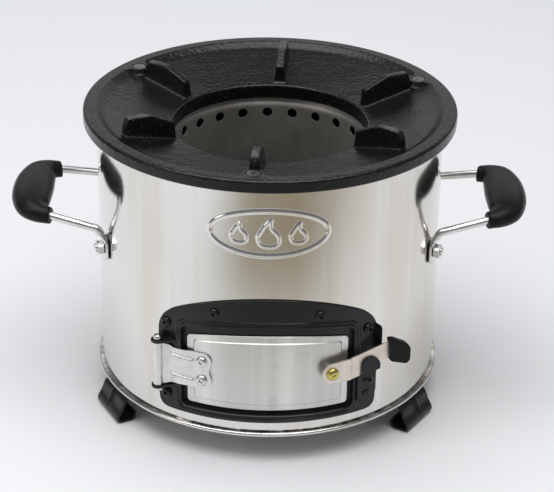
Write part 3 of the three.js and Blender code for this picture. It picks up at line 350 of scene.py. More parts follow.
def black_enamel(colour):
    shader = Shader("black_enamel")
    peel = shader.noise(900, 2)
    cloud = shader.noise(40, 3)
    chips = shader.between(shader.noise(310, 4), 0.70, 0.76)
    base = shader.mix(chips * 0.5 + cloud * 0.12, colour, (0.07, 0.07, 0.072))
    return shader.finish(
        base_color=base,
        metallic=0.0,
        roughness=0.17 + cloud * 0.10,
        specular_ior_level=0.34,
        normal=shader.bump(peel, 0.00004),
    )


def black_plastic(colour):
    shader = Shader("black_plastic")
    grain = shader.noise(1600, 2)
    cloud = shader.noise(55, 3)
    return shader.finish(
        base_color=shader.mix(cloud * 0.3, colour, (0.03, 0.03, 0.032)),
        metallic=0.0,
        roughness=0.26 + cloud * 0.10,
        specular_ior_level=0.13,
        normal=shader.bump(grain, 0.00004),
    )


def plated(name, colour, second, smooth):
    """A plated finish: two tones in a cloud, with faint handling marks."""
    shader = Shader(name)
    cloud = shader.noise(130, 3)
    marks = shader.noise(700, 4, (1, 1, 0.3))
    return shader.finish(
        base_color=shader.mix(shader.between(cloud, 0.35, 0.65), colour, second),
        metallic=1.0,
        roughness=smooth + marks * 0.14,
        normal=shader.bump(marks, 0.00003),
    )


def mineral_wool(colour):
    shader = Shader("mineral_wool")
    fibres = shader.noise(700, 6, (1, 0.25, 1), 0.7)
    across = shader.stretched((1, 1, 0))
    away = shader.node("ShaderNodeVectorMath", {"operation": "LENGTH"}, {0: across}, "Value")
    # Near black close to the chamber, fading out a few millimetres away.
    darker_near_chamber = shader.between(away, (CHAMBER_R + 8) * MM, (CHAMBER_R + 14) * MM, 1.0, 0.0)
    return shader.finish(
        base_color=shader.mix(darker_near_chamber, shader.mix(fibres, scaled(colour, 0.6), colour), (0.004, 0.004, 0.004)),
        roughness=0.9 + fibres * 0.1,
        normal=shader.bump(fibres, 0.0015),
    )


def finishes(colours):
    """All materials, by the record's slot names."""
    zinc = tuple(colours.zinc)
    return {
        "stainless": polished_steel(tuple(colours.steel)),
        "brushed_door": brushed_steel(tuple(colours.brushed)),
        "chamber_steel": chamber_steel(tuple(colours.chamber)),
        "zinc_steel": plated("zinc_plate", zinc, scaled(zinc, 0.86), 0.17),
        "satin_zinc": plated("satin_zinc", zinc, scaled(zinc, 0.92), 0.30),
        "dull_zinc": plated("dull_zinc", scaled(zinc, 0.35), scaled(zinc, 0.22), 0.34),
        "nickel": plated("nickel_plate", tuple(colours.nickel), (0.74, 0.66, 0.58), 0.36),
        "yellow_zinc": plated("yellow_zinc", tuple(colours.brass), (0.55, 0.52, 0.12), 0.16),
        "cast_iron": cast_iron(tuple(colours.iron)),
        "black_enamel": black_enamel(tuple(colours.enamel)),
        "black_plastic": black_plastic(tuple(colours.plastic)),
        "mineral_wool": mineral_wool(tuple(colours.wool)),
    }


def finish_of(slot):
    """The material of a slot, made once."""
    scene = bpy.context.scene
    if "stove_finishes" not in scene:
        made = finishes(scene.stove_colours)
        scene["stove_finishes"] = {name: material.name for name, material in made.items()}
    return bpy.data.materials[scene["stove_finishes"][slot]]


# ---- Outlines and profiles, as lists of points in millimetres ----
def eased(points, setback=0.6, steps=4, closed=True):
    """Rounds the corners of an outline. A point's third value is its own setback."""
    count = len(points)
    made = []
    for i, point in enumerate(points):
        here = np.array(point[:2], float)
        back = point[2] if len(point) > 2 else setback
        if back <= 0 or (not closed and i in (0, count - 1)):
            made.append(tuple(here))
            continue
        arms = []
        for other in (points[i - 1], points[(i + 1) % count]):
            arm = np.array(other[:2], float) - here
            length = np.hypot(*arm)
            arms.append(arm / length * min(back, 0.48 * length))
        for k in range(steps + 1):
            t = k / steps
            made.append(tuple(here + arms[0] * (1 - t) ** 2 + arms[1] * t**2))
    return made


def arc_points(centre, radius, start, end, steps):
    """Points on a circular arc, with its angles in degrees."""
    angles = np.radians(np.linspace(start, end, steps + 1))
    return [(centre[0] + radius * math.cos(a), centre[1] + radius * math.sin(a)) for a in angles]


def spline(points, steps, closed=False):
    """A centripetal Catmull-Rom curve through the points, with as many steps between each two."""
    given = np.array(points, float)
    if closed:
        ends = [given[-1], *given, given[0], given[1]]
    else:
        ends = [2 * given[0] - given[1], *given, 2 * given[-1] - given[-2]]
    made = []
    for i in range(1, len(ends) - 2):
        p0, p1, p2, p3 = ends[i - 1 : i + 3]
        steps_between = ((p0, p1), (p1, p2), (p2, p3))
        knots = np.cumsum([0, *[max(np.linalg.norm(b - a), 1e-6) ** 0.5 for a, b in steps_between]])
        for t in np.linspace(knots[1], knots[2], steps, endpoint=False):
            a1, a2, a3 = (
                ((knots[k + 1] - t) * p + (t - knots[k]) * q) / (knots[k + 1] - knots[k])
                for k, (p, q) in enumerate(steps_between)
            )
            b1 = ((knots[2] - t) * a1 + (t - knots[0]) * a2) / (knots[2] - knots[0])
            b2 = ((knots[3] - t) * a2 + (t - knots[1]) * a3) / (knots[3] - knots[1])
            made.append(((knots[2] - t) * b1 + (t - knots[1]) * b2) / (knots[2] - knots[1]))
    return np.array(made if closed else [*made, given[-1]])


def arch(half, bottom, side_top, crown, low_corner, high_corner):
    """A plate's outline with an arched top edge, anticlockwise from the middle of the bottom edge."""
    rise = crown - side_top
    radius = (half * half + rise * rise) / (2 * rise)
    side = half - high_corner

    def top_at(along):
        return crown - radius + math.sqrt(radius * radius - along * along)

    def corner(start, turn, end):
        ts = np.linspace(0, 1, 9)[:-1, None]
        return (1 - ts) ** 2 * start + 2 * ts * (1 - ts) * turn + ts**2 * end

    start, turn, end = np.array(((half - low_corner, bottom), (half, bottom), (half, bottom + low_corner)))
    floor = np.linspace((0, bottom), start, 24, endpoint=False)
    low_bend = corner(start, turn, end)
    start, turn, end = np.array(((half, side_top - high_corner), (half, side_top), (side, top_at(side))))
    wall = np.linspace((half, bottom + low_corner), start, 14, endpoint=False)
    high_bend = corner(start, turn, end)
    top = np.array([(x, top_at(x)) for x in np.linspace(side, 0, 25)])
    right = np.concatenate((floor, low_bend, wall, high_bend, top))
    left = right[1:-1][::-1] * (-1, 1)
    return np.concatenate((right, left))


def at_depth(outline, depth):
    """A flat outline at a depth out of the surface."""
    return [(x, -depth, z) for x, z in outline]


# ---- Mesh building ----
def loft(loops, ring=False, mesh=None):
    """Skins loops that have the same number of points. A ring's last loop meets its first."""
    mesh = mesh or bmesh.new()
    rows = [[mesh.verts.new(point) for point in loop] for loop in loops]
    count = len(rows[0])
    pairs = list(zip(rows, rows[1:])) + ([(rows[-1], rows[0])] if ring else [])
    for first, second in pairs:
        for i in range(count):
            j = (i + 1) % count
            mesh.faces.new((first[i], first[j], second[j], second[i]))
    if not ring:
        mesh.faces.new(rows[0][::-1])
        mesh.faces.new(rows[-1])
    return mesh


def lathe(profile, turns):
    """Turns a closed profile of (radius, height) round the Z axis. Turns is a number or a list of angles."""
    mesh = bmesh.new()
    angles = np.linspace(0, 2 * math.pi, turns, endpoint=False) if isinstance(turns, int) else turns
    rows = []
    for radius, height in profile:
        if radius < 1e-6:
            rows.append([mesh.verts.new((0, 0, height))])
        else:
            circle = [(radius * math.cos(a), radius * math.sin(a), height) for a in angles]
            rows.append([mesh.verts.new(point) for point in circle])
    count = len(angles)
    for first, second in zip(rows, rows[1:] + rows[:1]):
        for i in range(count):
            j = (i + 1) % count
            corners = [row[k % len(row)] for row, k in ((first, i), (first, j), (second, j), (second, i))]
            corners = list(dict.fromkeys(corners))
            if len(corners) > 2:
                mesh.faces.new(corners)
    return mesh


def slab(outline, back, front, ease):
    """A flat plate with rounded edges, from one depth to another."""
    points = np.array(outline, float)
    ahead = np.roll(points, -1, 0) - np.roll(points, 1, 0)
    inward = np.stack((-ahead[:, 1], ahead[:, 0]), 1) / np.linalg.norm(ahead, axis=1)[:, None]
    area = np.sum(points[:, 0] * np.roll(points[:, 1], -1) - np.roll(points[:, 0], -1) * points[:, 1])
    inward *= np.sign(area)
    loops = []
    for depth, inset in (
        (back, ease),
        (back + ease * 0.3, ease * 0.3),
        (back + ease, 0),
        (front - ease, 0),
        (front - ease * 0.3, ease * 0.3),
        (front, ease),
    ):
        loops.append(at_depth(points + inward * inset, depth))
    return loft(loops)


def sliced(mesh, axis, step):
    """Cuts a mesh at even distances along an axis, so that it can bend."""
    places = [v.co[axis] for v in mesh.verts]
    normal = Vector([1.0 if i == axis else 0.0 for i in range(3)])
    for i in range(math.ceil(min(places) / step), math.floor(max(places) / step) + 1):
        geometry = mesh.verts[:] + mesh.edges[:] + mesh.faces[:]
        bmesh.ops.bisect_plane(mesh, geom=geometry, plane_co=normal * (i * step), plane_no=normal, dist=0.01)
    return mesh


def wrapped(mesh):
    """Bends a flat mesh round the body."""
    for vert in mesh.verts:
        along, radius = vert.co.x / BODY_R, BODY_R - vert.co.y
        vert.co = (radius * math.sin(along), -radius * math.cos(along), vert.co.z)
    return mesh


def placed(mesh, matrix):
    mesh.transform(matrix)
    return mesh


def add_mesh(mesh, other):
    """Puts another mesh, which is used up, into a mesh."""
    copied = bpy.data.meshes.new("copied")
    other.to_mesh(copied)
    other.free()
    mesh.from_mesh(copied)
    bpy.data.meshes.remove(copied)


def outward(angle, radius, height):
    """A frame on the stove: X along the surface, Y up, Z straight out. The angle is in radians."""
    out = Vector((math.cos(angle), math.sin(angle), 0))
    along = Vector((-math.sin(angle), math.cos(angle), 0))
    columns = Matrix((along, Vector((0, 0, 1)), out)).transposed().to_4x4()
    columns.translation = out * radius + Vector((0, 0, height))
    return columns


def body_frame(angle, height):
    """A frame that takes a flat mesh (X along, -Y out, Z up) to the tangent plane at an angle."""
    return outward(angle, 0, height) @ Matrix.Rotation(math.pi / 2, 4, "X").inverted()


def linked_object(name, data):
    made = bpy.data.objects.new(name, data)
    bpy.context.scene.collection.objects.link(made)
    return made


def shade(mesh, sharp):
    """Turns faces outwards and makes them smooth but for edges over an angle in degrees."""
    bmesh.ops.recalc_face_normals(mesh, faces=mesh.faces[:])
    for face in mesh.faces:
        face.smooth = True
    for edge in mesh.edges:
        edge.smooth = len(edge.link_faces) == 2 and edge.calc_face_angle(0) < math.radians(sharp)


def mesh_object(mesh, name, sharp=32.0):
    """An object from a mesh in millimetres, smooth but for its sharp edges."""
    mesh.transform(Matrix.Scale(MM, 4))
    shade(mesh, sharp)
    data = bpy.data.meshes.new(name)
    mesh.to_mesh(data)
    mesh.free()
    return linked_object(name, data)


def baked(made):
    """Turns an object's modifiers into plain mesh."""
    bpy.context.view_layer.update()
    depsgraph = bpy.context.evaluated_depsgraph_get()
    plain = bpy.data.meshes.new_from_object(made.evaluated_get(depsgraph))
    made.modifiers.clear()
    old = made.data
    made.data = plain
    bpy.data.meshes.remove(old)
    return made


def carved(made, other, operation):
    """Joins or cuts an object with another, which is used up."""
    modifier = made.modifiers.new("carve", "BOOLEAN")
    modifier.operation = operation
    modifier.solver = "EXACT"
    modifier.object = other
    baked(made)
    data = other.data
    bpy.data.objects.remove(other)
    bpy.data.meshes.remove(data)
    return made


def resharpened(made, sharp=32.0):
    """Marks sharp edges again after a cut."""
    mesh = bmesh.new()
    mesh.from_mesh(made.data)
    shade(mesh, sharp)
    mesh.to_mesh(made.data)
    mesh.free()
    return made


def make_piece(made, slot, nodes, body="root", finish=None):
    """Gives a finished object its normals, material and body, and hides the CAD nodes that it stands for."""
    modifier = made.modifiers.new("normals", "WEIGHTED_NORMAL")
    modifier.keep_sharp = True
    modifier.weight = 80
    baked(made)
    made.data.materials.clear()
    made.data.materials.append(finish_of(finish or slot))
    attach(made, body)
    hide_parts(*nodes)
    return made


# ---- Geometry Nodes: a shape set round the axis or on a list of places, and a turned ring ----
def built_tree(name, inputs, nodes, links):
    """A tree, made once: nodes with their settings and values, then links from socket to socket.

    What reaches "real" goes on through Realize Instances and Set Material to the output.
    """
    if name in bpy.data.node_groups:
        return bpy.data.node_groups[name]
    tree = bpy.data.node_groups.new(name, "GeometryNodeTree")
    tree.interface.new_socket("Geometry", in_out="OUTPUT", socket_type="NodeSocketGeometry")
    for title, kind in {"Geometry": "Geometry", **inputs, "Material": "Material"}.items():
        tree.interface.new_socket(title, in_out="INPUT", socket_type="NodeSocket" + kind)
    nodes = {
        "entry": ("NodeGroupInput", {}, {}),
        **nodes,
        "real": ("GeometryNodeRealizeInstances", {}, {}),
        "paint": ("GeometryNodeSetMaterial", {}, {}),
        "leave": ("NodeGroupOutput", {}, {}),
    }
    made = {}
    for label, (kind, settings, values) in nodes.items():
        made[label] = node = tree.nodes.new(kind)
        for key, value in settings.items():
            setattr(node, key, value)
        for key, value in values.items():
            node.inputs[key].default_value = value
    last = [("real", 0, "paint", 0), ("entry", "Material", "paint", "Material"), ("paint", 0, "leave", 0)]
    for start, leaving, end, entering in links + last:
        tree.links.new(made[start].outputs[leaving], made[end].inputs[entering])
    return tree


def axis_tree():
    """Copies a shape round the Z axis."""
    nodes = {
        "line": ("GeometryNodeMeshLine", {}, {"Offset": (0, 0, 0)}),
        "shape": ("GeometryNodeObjectInfo", {}, {}),
        "index": ("GeometryNodeInputIndex", {}, {}),
        "step": ("ShaderNodeMath", {"operation": "DIVIDE"}, {0: 2 * math.pi}),
        "angle": ("ShaderNodeMath", {"operation": "MULTIPLY_ADD"}, {}),
        "spin": ("ShaderNodeCombineXYZ", {}, {}),
        "rotation": ("FunctionNodeEulerToRotation", {}, {}),
        "place": ("GeometryNodeInstanceOnPoints", {}, {}),
    }
    links = [
        ("entry", "Count", "line", "Count"),
        ("entry", "Shape", "shape", "Object"),
        ("entry", "Count", "step", 1),
        ("index", 0, "angle", 0),
        ("step", 0, "angle", 1),
        ("entry", "Turn", "angle", 2),
        ("angle", 0, "spin", "Z"),
        ("spin", 0, "rotation", 0),
        ("line", 0, "place", "Points"),
        ("shape", "Geometry", "place", "Instance"),
        ("rotation", 0, "place", "Rotation"),
        ("place", 0, "real", 0),
    ]
    return built_tree("around_axis", {"Shape": "Object", "Count": "Int", "Turn": "Float"}, nodes, links)


def places_tree():
    """Copies a shape to each point, turned by the point's own attribute."""
    nodes = {
        "shape": ("GeometryNodeObjectInfo", {}, {}),
        "turn": ("GeometryNodeInputNamedAttribute", {"data_type": "FLOAT_VECTOR"}, {"Name": "turn"}),
        "rotation": ("FunctionNodeEulerToRotation", {}, {}),
        "place": ("GeometryNodeInstanceOnPoints", {}, {}),
    }
    links = [
        ("entry", "Shape", "shape", "Object"),
        ("turn", "Attribute", "rotation", 0),
        ("entry", "Geometry", "place", "Points"),
        ("shape", "Geometry", "place", "Instance"),
        ("rotation", 0, "place", "Rotation"),
        ("place", 0, "real", 0),
    ]
    return built_tree("on_places", {"Shape": "Object"}, nodes, links)


def turned_tree():
    """Sweeps a flat profile round a circle. Its X is the distance out of the circle and its Y points down."""
    nodes = {
        "circle": ("GeometryNodeCurvePrimitiveCircle", {}, {}),
        "profile": ("GeometryNodeMeshToCurve", {}, {}),
        "sweep": ("GeometryNodeCurveToMesh", {}, {}),
    }
    links = [
        ("entry", "Radius", "circle", "Radius"),
        ("entry", "Steps", "circle", "Resolution"),
        ("entry", "Geometry", "profile", "Mesh"),
        ("circle", 0, "sweep", "Curve"),
        ("profile", 0, "sweep", "Profile Curve"),
        ("sweep", 0, "real", 0),
    ]
    return built_tree("turned", {"Radius": "Float", "Steps": "Int"}, nodes, links)


def grown(name, tree, data, slot, **values):
    """A plain mesh made from some data by a tree, with its inputs' values by name."""
    made = linked_object(name, data)
    modifier = made.modifiers.new("tree", "NODES")
    modifier.node_group = tree
    values["Material"] = finish_of(slot)
    for socket in tree.interface.items_tree:
        if socket.in_out == "INPUT" and socket.name in values:
            modifier[socket.identifier] = values[socket.name]
    return baked(made)


def repeated(name, tree, shape, slot, points=(), **values):
    """A plain mesh of a shape repeated by a tree. The shape is used up."""
    data = bpy.data.meshes.new(name)
    data.from_pydata([Vector(m.translation) * MM for m in points], [], [])
    if points:
        turn = data.attributes.new("turn", "FLOAT_VECTOR", "POINT")
        turn.data.foreach_set("vector", [angle for m in points for angle in m.to_euler()])
    made = grown(name, tree, data, slot, Shape=shape, **values)
    bpy.data.objects.remove(shape)
    return made


def turned(name, profile, steps, slot):
    """A plain mesh of a closed profile of (radius, height), turned round the axis."""
    radius, count = profile[0][0], len(profile)
    data = bpy.data.meshes.new(name)
    points = [((r - radius) * MM, -z * MM, 0) for r, z in profile]
    data.from_pydata(points, [(i, (i + 1) % count) for i in range(count)], [])
    return resharpened(grown(name, turned_tree(), data, slot, Radius=radius * MM, Steps=steps))


# ---- Body ----
def flame(centre, base, tall):
    """Outline of a plain flame with a bent tip."""
    shape = ((0, 0), (0.25, 0.05), (0.37, 0.25), (0.30, 0.48), (0.12, 0.70), (0.10, 1.0))
    back = ((-0.12, 0.84), (-0.26, 0.62), (-0.38, 0.36), (-0.27, 0.08))
    return spline([(centre + x * tall, base + z * tall) for x, z in shape + back], 12, closed=True)


def inside_depth(points, outline):
    """Distance of points inside an outline from its edge, negative outside."""
    away = np.linalg.norm(points[:, None] - outline[None], axis=2).min(1)
    x, z = points[:, 0:1], points[:, 1:2]
    ax, az = outline[:, 0][None], outline[:, 1][None]
    bx, bz = np.roll(outline[:, 0], -1)[None], np.roll(outline[:, 1], -1)[None]
    crossing = ((az > z) != (bz > z)) & (x < (bx - ax) * (z - az) / (bz - az + 1e-12) + ax)
    return np.where(crossing.sum(1) % 2 == 1, away, -away)


def smooth_step(value, start, end):
    share = np.clip((value - start) / (end - start), 0, 1)
    return share * share * (3 - 2 * share)


def emblem_height(points, rise):
    """Height of the embossed oval and its three flames over the body's surface."""
    half_width, half_height, bead = 42.7, 17.4, 4.8
    centre = RIM_Z - 44.7
    angles = np.linspace(0, 2 * math.pi, 400, endpoint=False)
    oval = np.stack((half_width * np.cos(angles), centre + half_height * np.sin(angles)), 1)
    away = np.abs(inside_depth(points, oval))
    height = rise * np.cos(np.clip(away / bead, 0, 0.5) * math.pi) ** 2
    for middle_x, drop, tall in ((0, 11.4, 23.0), (-21, 8.6, 17.5), (21, 8.6, 17.5)):
        depth = inside_depth(points, flame(middle_x, centre - drop, tall))
        height += rise * np.cos(np.clip(np.abs(depth - 0.9) / 3.6, 0, 0.5) * math.pi) ** 2
        height += rise * 0.35 * smooth_step(depth, 0.5, 2.0)
    return height


def shell_angles():
    """Angles close together at the emblem, and even elsewhere. The front is at -90 degrees."""
    fine = 47.0 / BODY_R
    front = np.linspace(-fine, fine, 230)
    rest = np.linspace(fine, 2 * math.pi - fine, 190)[1:-1]
    return list(np.concatenate((front, rest)) - math.pi / 2)


def body_mesh(rise):
    """The shell: a rolled seam at its foot, a plain wall and the embossed emblem."""
    inner = BODY_R - SHELL_WALL
    bead = 1.7
    centre = (SEAM_R - bead, FOOT_HEIGHT + bead)
    seam = [(inner, FOOT_HEIGHT), *arc_points(centre, bead, -90, 105, 14)]
    crease = [(BODY_R - 0.9, FOOT_HEIGHT + 3.4, 0.3), (BODY_R, FOOT_HEIGHT + 4.5, 0.4), (BODY_R, 34, 0)]
    seam += eased(crease, closed=False)
    emblem_low, emblem_high = RIM_Z - 66.5, RIM_Z - 23
    wall = [(BODY_R, z) for z in np.linspace(emblem_low, emblem_high, 104)]
    top = [(BODY_R, SHELL_TOP), (inner, SHELL_TOP), (inner, (SHELL_TOP + FOOT_HEIGHT) / 2)]
    mesh = lathe(seam + wall + top, shell_angles())
    raised = [
        v
        for v in mesh.verts
        if abs(math.hypot(v.co.x, v.co.y) - BODY_R) < 0.01
        and emblem_low < v.co.z < emblem_high
        and v.co.y < -BODY_R * 0.9
    ]
    arcs = np.array([(BODY_R * math.atan2(v.co.x, -v.co.y), v.co.z) for v in raised])
    for vert, height in zip(raised, emblem_height(arcs, rise)):
        grow = (BODY_R + height) / BODY_R
        vert.co.x *= grow
        vert.co.y *= grow
    return mesh


def doorway_cutter():
    half, bottom = RECESS_HALF + 1.8, RECESS_BOTTOM - 1.8
    outline = arch(half, bottom, RECESS_SIDE_TOP + 1.8, RECESS_CROWN + 1.8, 4, 4)
    block = loft([at_depth(outline, -9), at_depth(outline, 9)])
    return mesh_object(wrapped(sliced(block, 0, 2)), "doorway")


class STOVE_OT_body(bpy.types.Operator):
    """Makes the polished body shell with its seam and emblem"""

    bl_idname = "stove.body"
    bl_label = "Body shell"

    def execute(self, context):
        shell = mesh_object(body_mesh(context.scene.stove_sizes.emblem_rise / MM), "stove_body")
        resharpened(carved(shell, doorway_cutter(), "DIFFERENCE"))
        make_piece(shell, "stainless", ["body_shell"])
        return {"FINISHED"}


# ---- Cast ring ----
def dish_height(radius):
    """Height of the dish's top surface."""
    return DISH_Z + (radius - HOLE_R) / (SLOPE_R - HOLE_R) * (RIM_Z - 4 - DISH_Z)


def ring_profile():
    wall = 4.6
    under = RIM_Z - wall
    return eased(
        [
            (HOLE_R, COLLAR_Z, 0.8),
            (HOLE_R + 5, COLLAR_Z, 0.8),
            (HOLE_R + 5, dish_height(HOLE_R + 5) - wall, 1.5),
            (SLOPE_R, RIM_Z - 4 - wall, 1.5),
            (RING_R - RIM_WIDTH - 1, under, 1.0),
            (RING_R - 6, under, 0.8),
            (RING_R - 6, RIM_Z - 9.5, 0.8),
            (RING_R, RIM_Z - 9.5, 1.6),
            (RING_R, RIM_Z, 2.6),
            (RING_R - RIM_WIDTH, RIM_Z, 1.0),
            (SLOPE_R, RIM_Z - 4, 2.2),
            (HOLE_R, DISH_Z, 1.6),
        ]
    )


def rib_mesh(foot, top):
    """One pot rest along +X, as a stack of rounded footprints that leaves the dish in a small flare."""
    inner, outer = HOLE_R + 4.6, SLOPE_R - 6.5
    crest_at = [(inner - 3, RIM_Z - 3), (inner + 1.4, RIM_Z - 1), (97, RIB_TOP), (114.5, RIB_TOP)]
    crest_at += [(outer, RIM_Z + 1), (outer + 3, RIM_Z - 2)]
    crest = np.array(eased([(*p, 1.5) for p in crest_at], closed=False))
    loops = []
    for rise, grow, width in (
        (-0.18, 1.5, foot + 2.6),
        (0.0, 1.5, foot + 2.6),
        (0.03, 0.7, foot + 1.2),
        (0.09, 0.2, foot + 0.3),
        (0.2, 0.0, foot),
        (0.6, -0.1, foot - (foot - top) * 0.6),
        (0.88, -0.2, foot - (foot - top) * 0.9),
        (0.96, -0.5, top - 0.3),
        (0.99, -0.9, top - 1.0),
        (1.0, -1.5, top - 2.2),
    ):
        start, end, half = inner - grow, outer + grow, width / 2
        corner = min(1.6, half * 0.6)
        long_side = list(np.linspace(start + corner, end - corner, 34))
        loop = [(x, -half) for x in long_side]
        loop += arc_points((end - corner, -half + corner), corner, -90, 0, 4)[1:]
        loop += arc_points((end - corner, half - corner), corner, 0, 90, 4)[:-1]
        loop += [(x, half) for x in reversed(long_side)]
        loop += arc_points((start + corner, half - corner), corner, 90, 180, 4)[1:]
        loop += arc_points((start + corner, -half + corner), corner, 180, 270, 4)[:-1]
        heights = [np.interp(x, crest[:, 0], crest[:, 1]) for x, _ in loop]
        roots = [dish_height(x) for x, _ in loop]
        loops.append([(x, y, r + (h - r) * rise) for (x, y), h, r in zip(loop, heights, roots)])
    rib = loft(loops)
    bmesh.ops.triangulate(rib, faces=[f for f in rib.faces if len(f.verts) > 4])
    return rib


def screw_pad():
    """A boss flush with the rim under a ring screw along +X, wider where it meets the rim."""
    circle = arc_points((RING_SCREW_R, 0), 7.6, 90, 270, 20)
    rim = RING_R - RIM_WIDTH + 2.5
    outline = spline([(rim, 19), (rim - 2.6, 13.5), *circle[::2], (rim - 2.6, -13.5), (rim, -19)], 3)
    loops = []
    centre = np.array((RING_SCREW_R + 4, 0))
    for drop, grow in ((4.4, 2.2), (3.2, 1.0), (0.8, 0.25), (0.2, 0), (0, -0.5)):
        away = outline - centre
        spread = outline + away / np.linalg.norm(away, axis=1)[:, None] * grow
        loops.append([(x, y, RIM_Z - drop) for x, y in spread])
    return loft(loops)


def screw_seat():
    """The countersink that lets a ring screw sit flush."""
    profile = [(0, RIM_Z - 0.9), (5.4, RIM_Z - 0.9), (5.7, RIM_Z + 1), (0, RIM_Z + 1)]
    return placed(lathe(profile, 40), Matrix.Translation((RING_SCREW_R, 0, 0)))


class STOVE_OT_ring(bpy.types.Operator):
    """Makes the cast pot ring: rim, dish, collar, pot rests and screw bosses"""

    bl_idname = "stove.ring"
    bl_label = "Cast ring"

    def execute(self, context):
        sizes = context.scene.stove_sizes
        ring = turned("cast_ring", ring_profile(), 240, "cast_iron")
        rib = rib_mesh(sizes.rib_foot / MM, sizes.rib_top / MM)
        shapes = (
            ("ribs", mesh_object(rib, "rib"), sizes.rib_count, "UNION"),
            ("bosses", mesh_object(screw_pad(), "boss"), 3, "UNION"),
            ("seats", mesh_object(screw_seat(), "seat"), 3, "DIFFERENCE"),
        )
        for name, shape, count, operation in shapes:
            others = repeated(name, axis_tree(), shape, "cast_iron", Count=count, Turn=RING_TURN)
            carved(ring, others, operation)
        make_piece(resharpened(ring, 40), "cast_iron", ["top_ring"])
        return {"FINISHED"}


# ---- Chamber ----
def chamber_mesh():
    wall = 1.2
    lip = CHAMBER_TOP - 7.3
    profile = [
        (0, CHAMBER_FLOOR),
        *arc_points((CHAMBER_R + wall - 3, CHAMBER_FLOOR + 3), 3, -90, 0, 5),
        (CHAMBER_R + wall, lip - 0.8),
        *eased(
            [
                (CHAMBER_R + wall, lip - 0.6, 0),
                (CHAMBER_R + 1.6, lip + 1.6, 1.4),
                (CHAMBER_R + 4.4, CHAMBER_TOP - 2.4, 1.6),
                (CHAMBER_R + 4.4, CHAMBER_TOP, 0.7),
                (CHAMBER_R + 3.2, CHAMBER_TOP, 0.5),
                (CHAMBER_R + 2.6, CHAMBER_TOP - 2.6, 1.6),
                (CHAMBER_R, lip + 1.2, 2.0),
                (CHAMBER_R, lip - 3, 0),
            ],
            closed=False,
        ),
        *arc_points((CHAMBER_R - 2, CHAMBER_FLOOR + wall + 2), 2, 0, -90, 4),
        (0, CHAMBER_FLOOR + wall),
    ]
    return lathe(profile, 144)


class STOVE_OT_chamber(bpy.types.Operator):
    """Makes the combustion chamber with its rolled lip, air holes and feed opening"""

    bl_idname = "stove.chamber"
    bl_label = "Combustion chamber"

    def execute(self, context):
        sizes = context.scene.stove_sizes
        cup = mesh_object(chamber_mesh(), "chamber")
        drill = lathe([(0, 0), (AIR_HOLE_R, 0), (AIR_HOLE_R, 12), (0, 12)], 24)
        drill = mesh_object(placed(drill, outward(0, CHAMBER_R - 5, AIR_HOLE_Z)), "drill")
        turn = math.radians(91.7)
        drills = repeated("drills", axis_tree(), drill, "chamber_steel", Count=sizes.air_holes, Turn=turn)
        carved(cup, drills, "DIFFERENCE")
        tunnel_low, tunnel_high = low("feed_tunnel"), high("feed_tunnel")
        block = bmesh.new()
        bmesh.ops.create_cube(block, size=1)
        inside = tunnel_high - tunnel_low - (2, 0, 2)
        block.transform(Matrix.Diagonal((inside[0], 40, inside[2], 1)))
        block.transform(Matrix.Translation((0, -CHAMBER_R, middle("feed_tunnel")[2])))
        carved(cup, mesh_object(block, "mouth"), "DIFFERENCE")
        make_piece(resharpened(cup), "chamber_steel", ["combustion_chamber"])
        return {"FINISHED"}


# ---- Door frame ----
def frame_outline(inset):
    half, bottom = FRAME_HALF - inset, FRAME_BOTTOM + inset
    return arch(half, bottom, FRAME_SIDE_TOP - inset, FRAME_CROWN - inset, 9.5 - inset, 13 - inset)


def recess_outline(grow):
    half, bottom, corner = RECESS_HALF + grow, RECESS_BOTTOM - grow, 5 + grow
    return arch(half, bottom, RECESS_SIDE_TOP + grow, RECESS_CROWN + grow, corner, corner)


def door_outline(inset, low_inset):
    corner = max(3 - inset * 0.2, 1.5)
    side_top = DOOR_SIDE_TOP - inset * 0.6
    return arch(DOOR_HALF - inset, DOOR_BOTTOM + low_inset, side_top, DOOR_CROWN - inset, corner, corner)


BEADS = (
    (5.3, 0),
    (5.05, 0.12),
    (4.65, 0.62),
    (4.1, 0.88),
    (3.4, 0.82),
    (2.9, 0.4),
    (2.6, 0.15),
    (2.2, 0.15),
    (1.8, 0.5),
    (1.3, 0.72),
    (0.7, 0.6),
    (0.2, 0.1),
)


def frame_mesh():
    """The pressed frame: a flat face, two beads round the recess and a floor with the mouth."""
    sections = [
        (frame_outline(0), FRAME_BACK),
        (frame_outline(0), FRAME_FACE - 0.6),
        (frame_outline(0.18), FRAME_FACE - 0.18),
        (frame_outline(0.6), FRAME_FACE),
        *((recess_outline(grow), FRAME_FACE + rise) for grow, rise in BEADS),
        (recess_outline(0), FRAME_FACE - 0.7),
        (recess_outline(0), RECESS_DEPTH + 0.6),
        (recess_outline(-0.2), RECESS_DEPTH + 0.2),
        (recess_outline(-0.6), RECESS_DEPTH),
        (door_outline(6.5, 6.5), RECESS_DEPTH),
        (door_outline(6.5, 6.5), RECESS_DEPTH - 1.5),
        (recess_outline(1.5), RECESS_DEPTH - 1.5),
        (recess_outline(1.5), FRAME_BACK),
    ]
    mesh = loft([at_depth(outline, depth) for outline, depth in sections], ring=True)
    for vert in mesh.verts:
        rise = -vert.co.y - FRAME_FACE
        under_strap = vert.co.x < -60 and STRAP_LOW - 3 < vert.co.z < EAR_TOP + 1
        under_catch = vert.co.x > 60 and vert.co.z < PIVOT[2]
        if rise > 0 and (under_strap or under_catch):
            vert.co.y = -FRAME_FACE - rise * 0.25
    return wrapped(mesh)


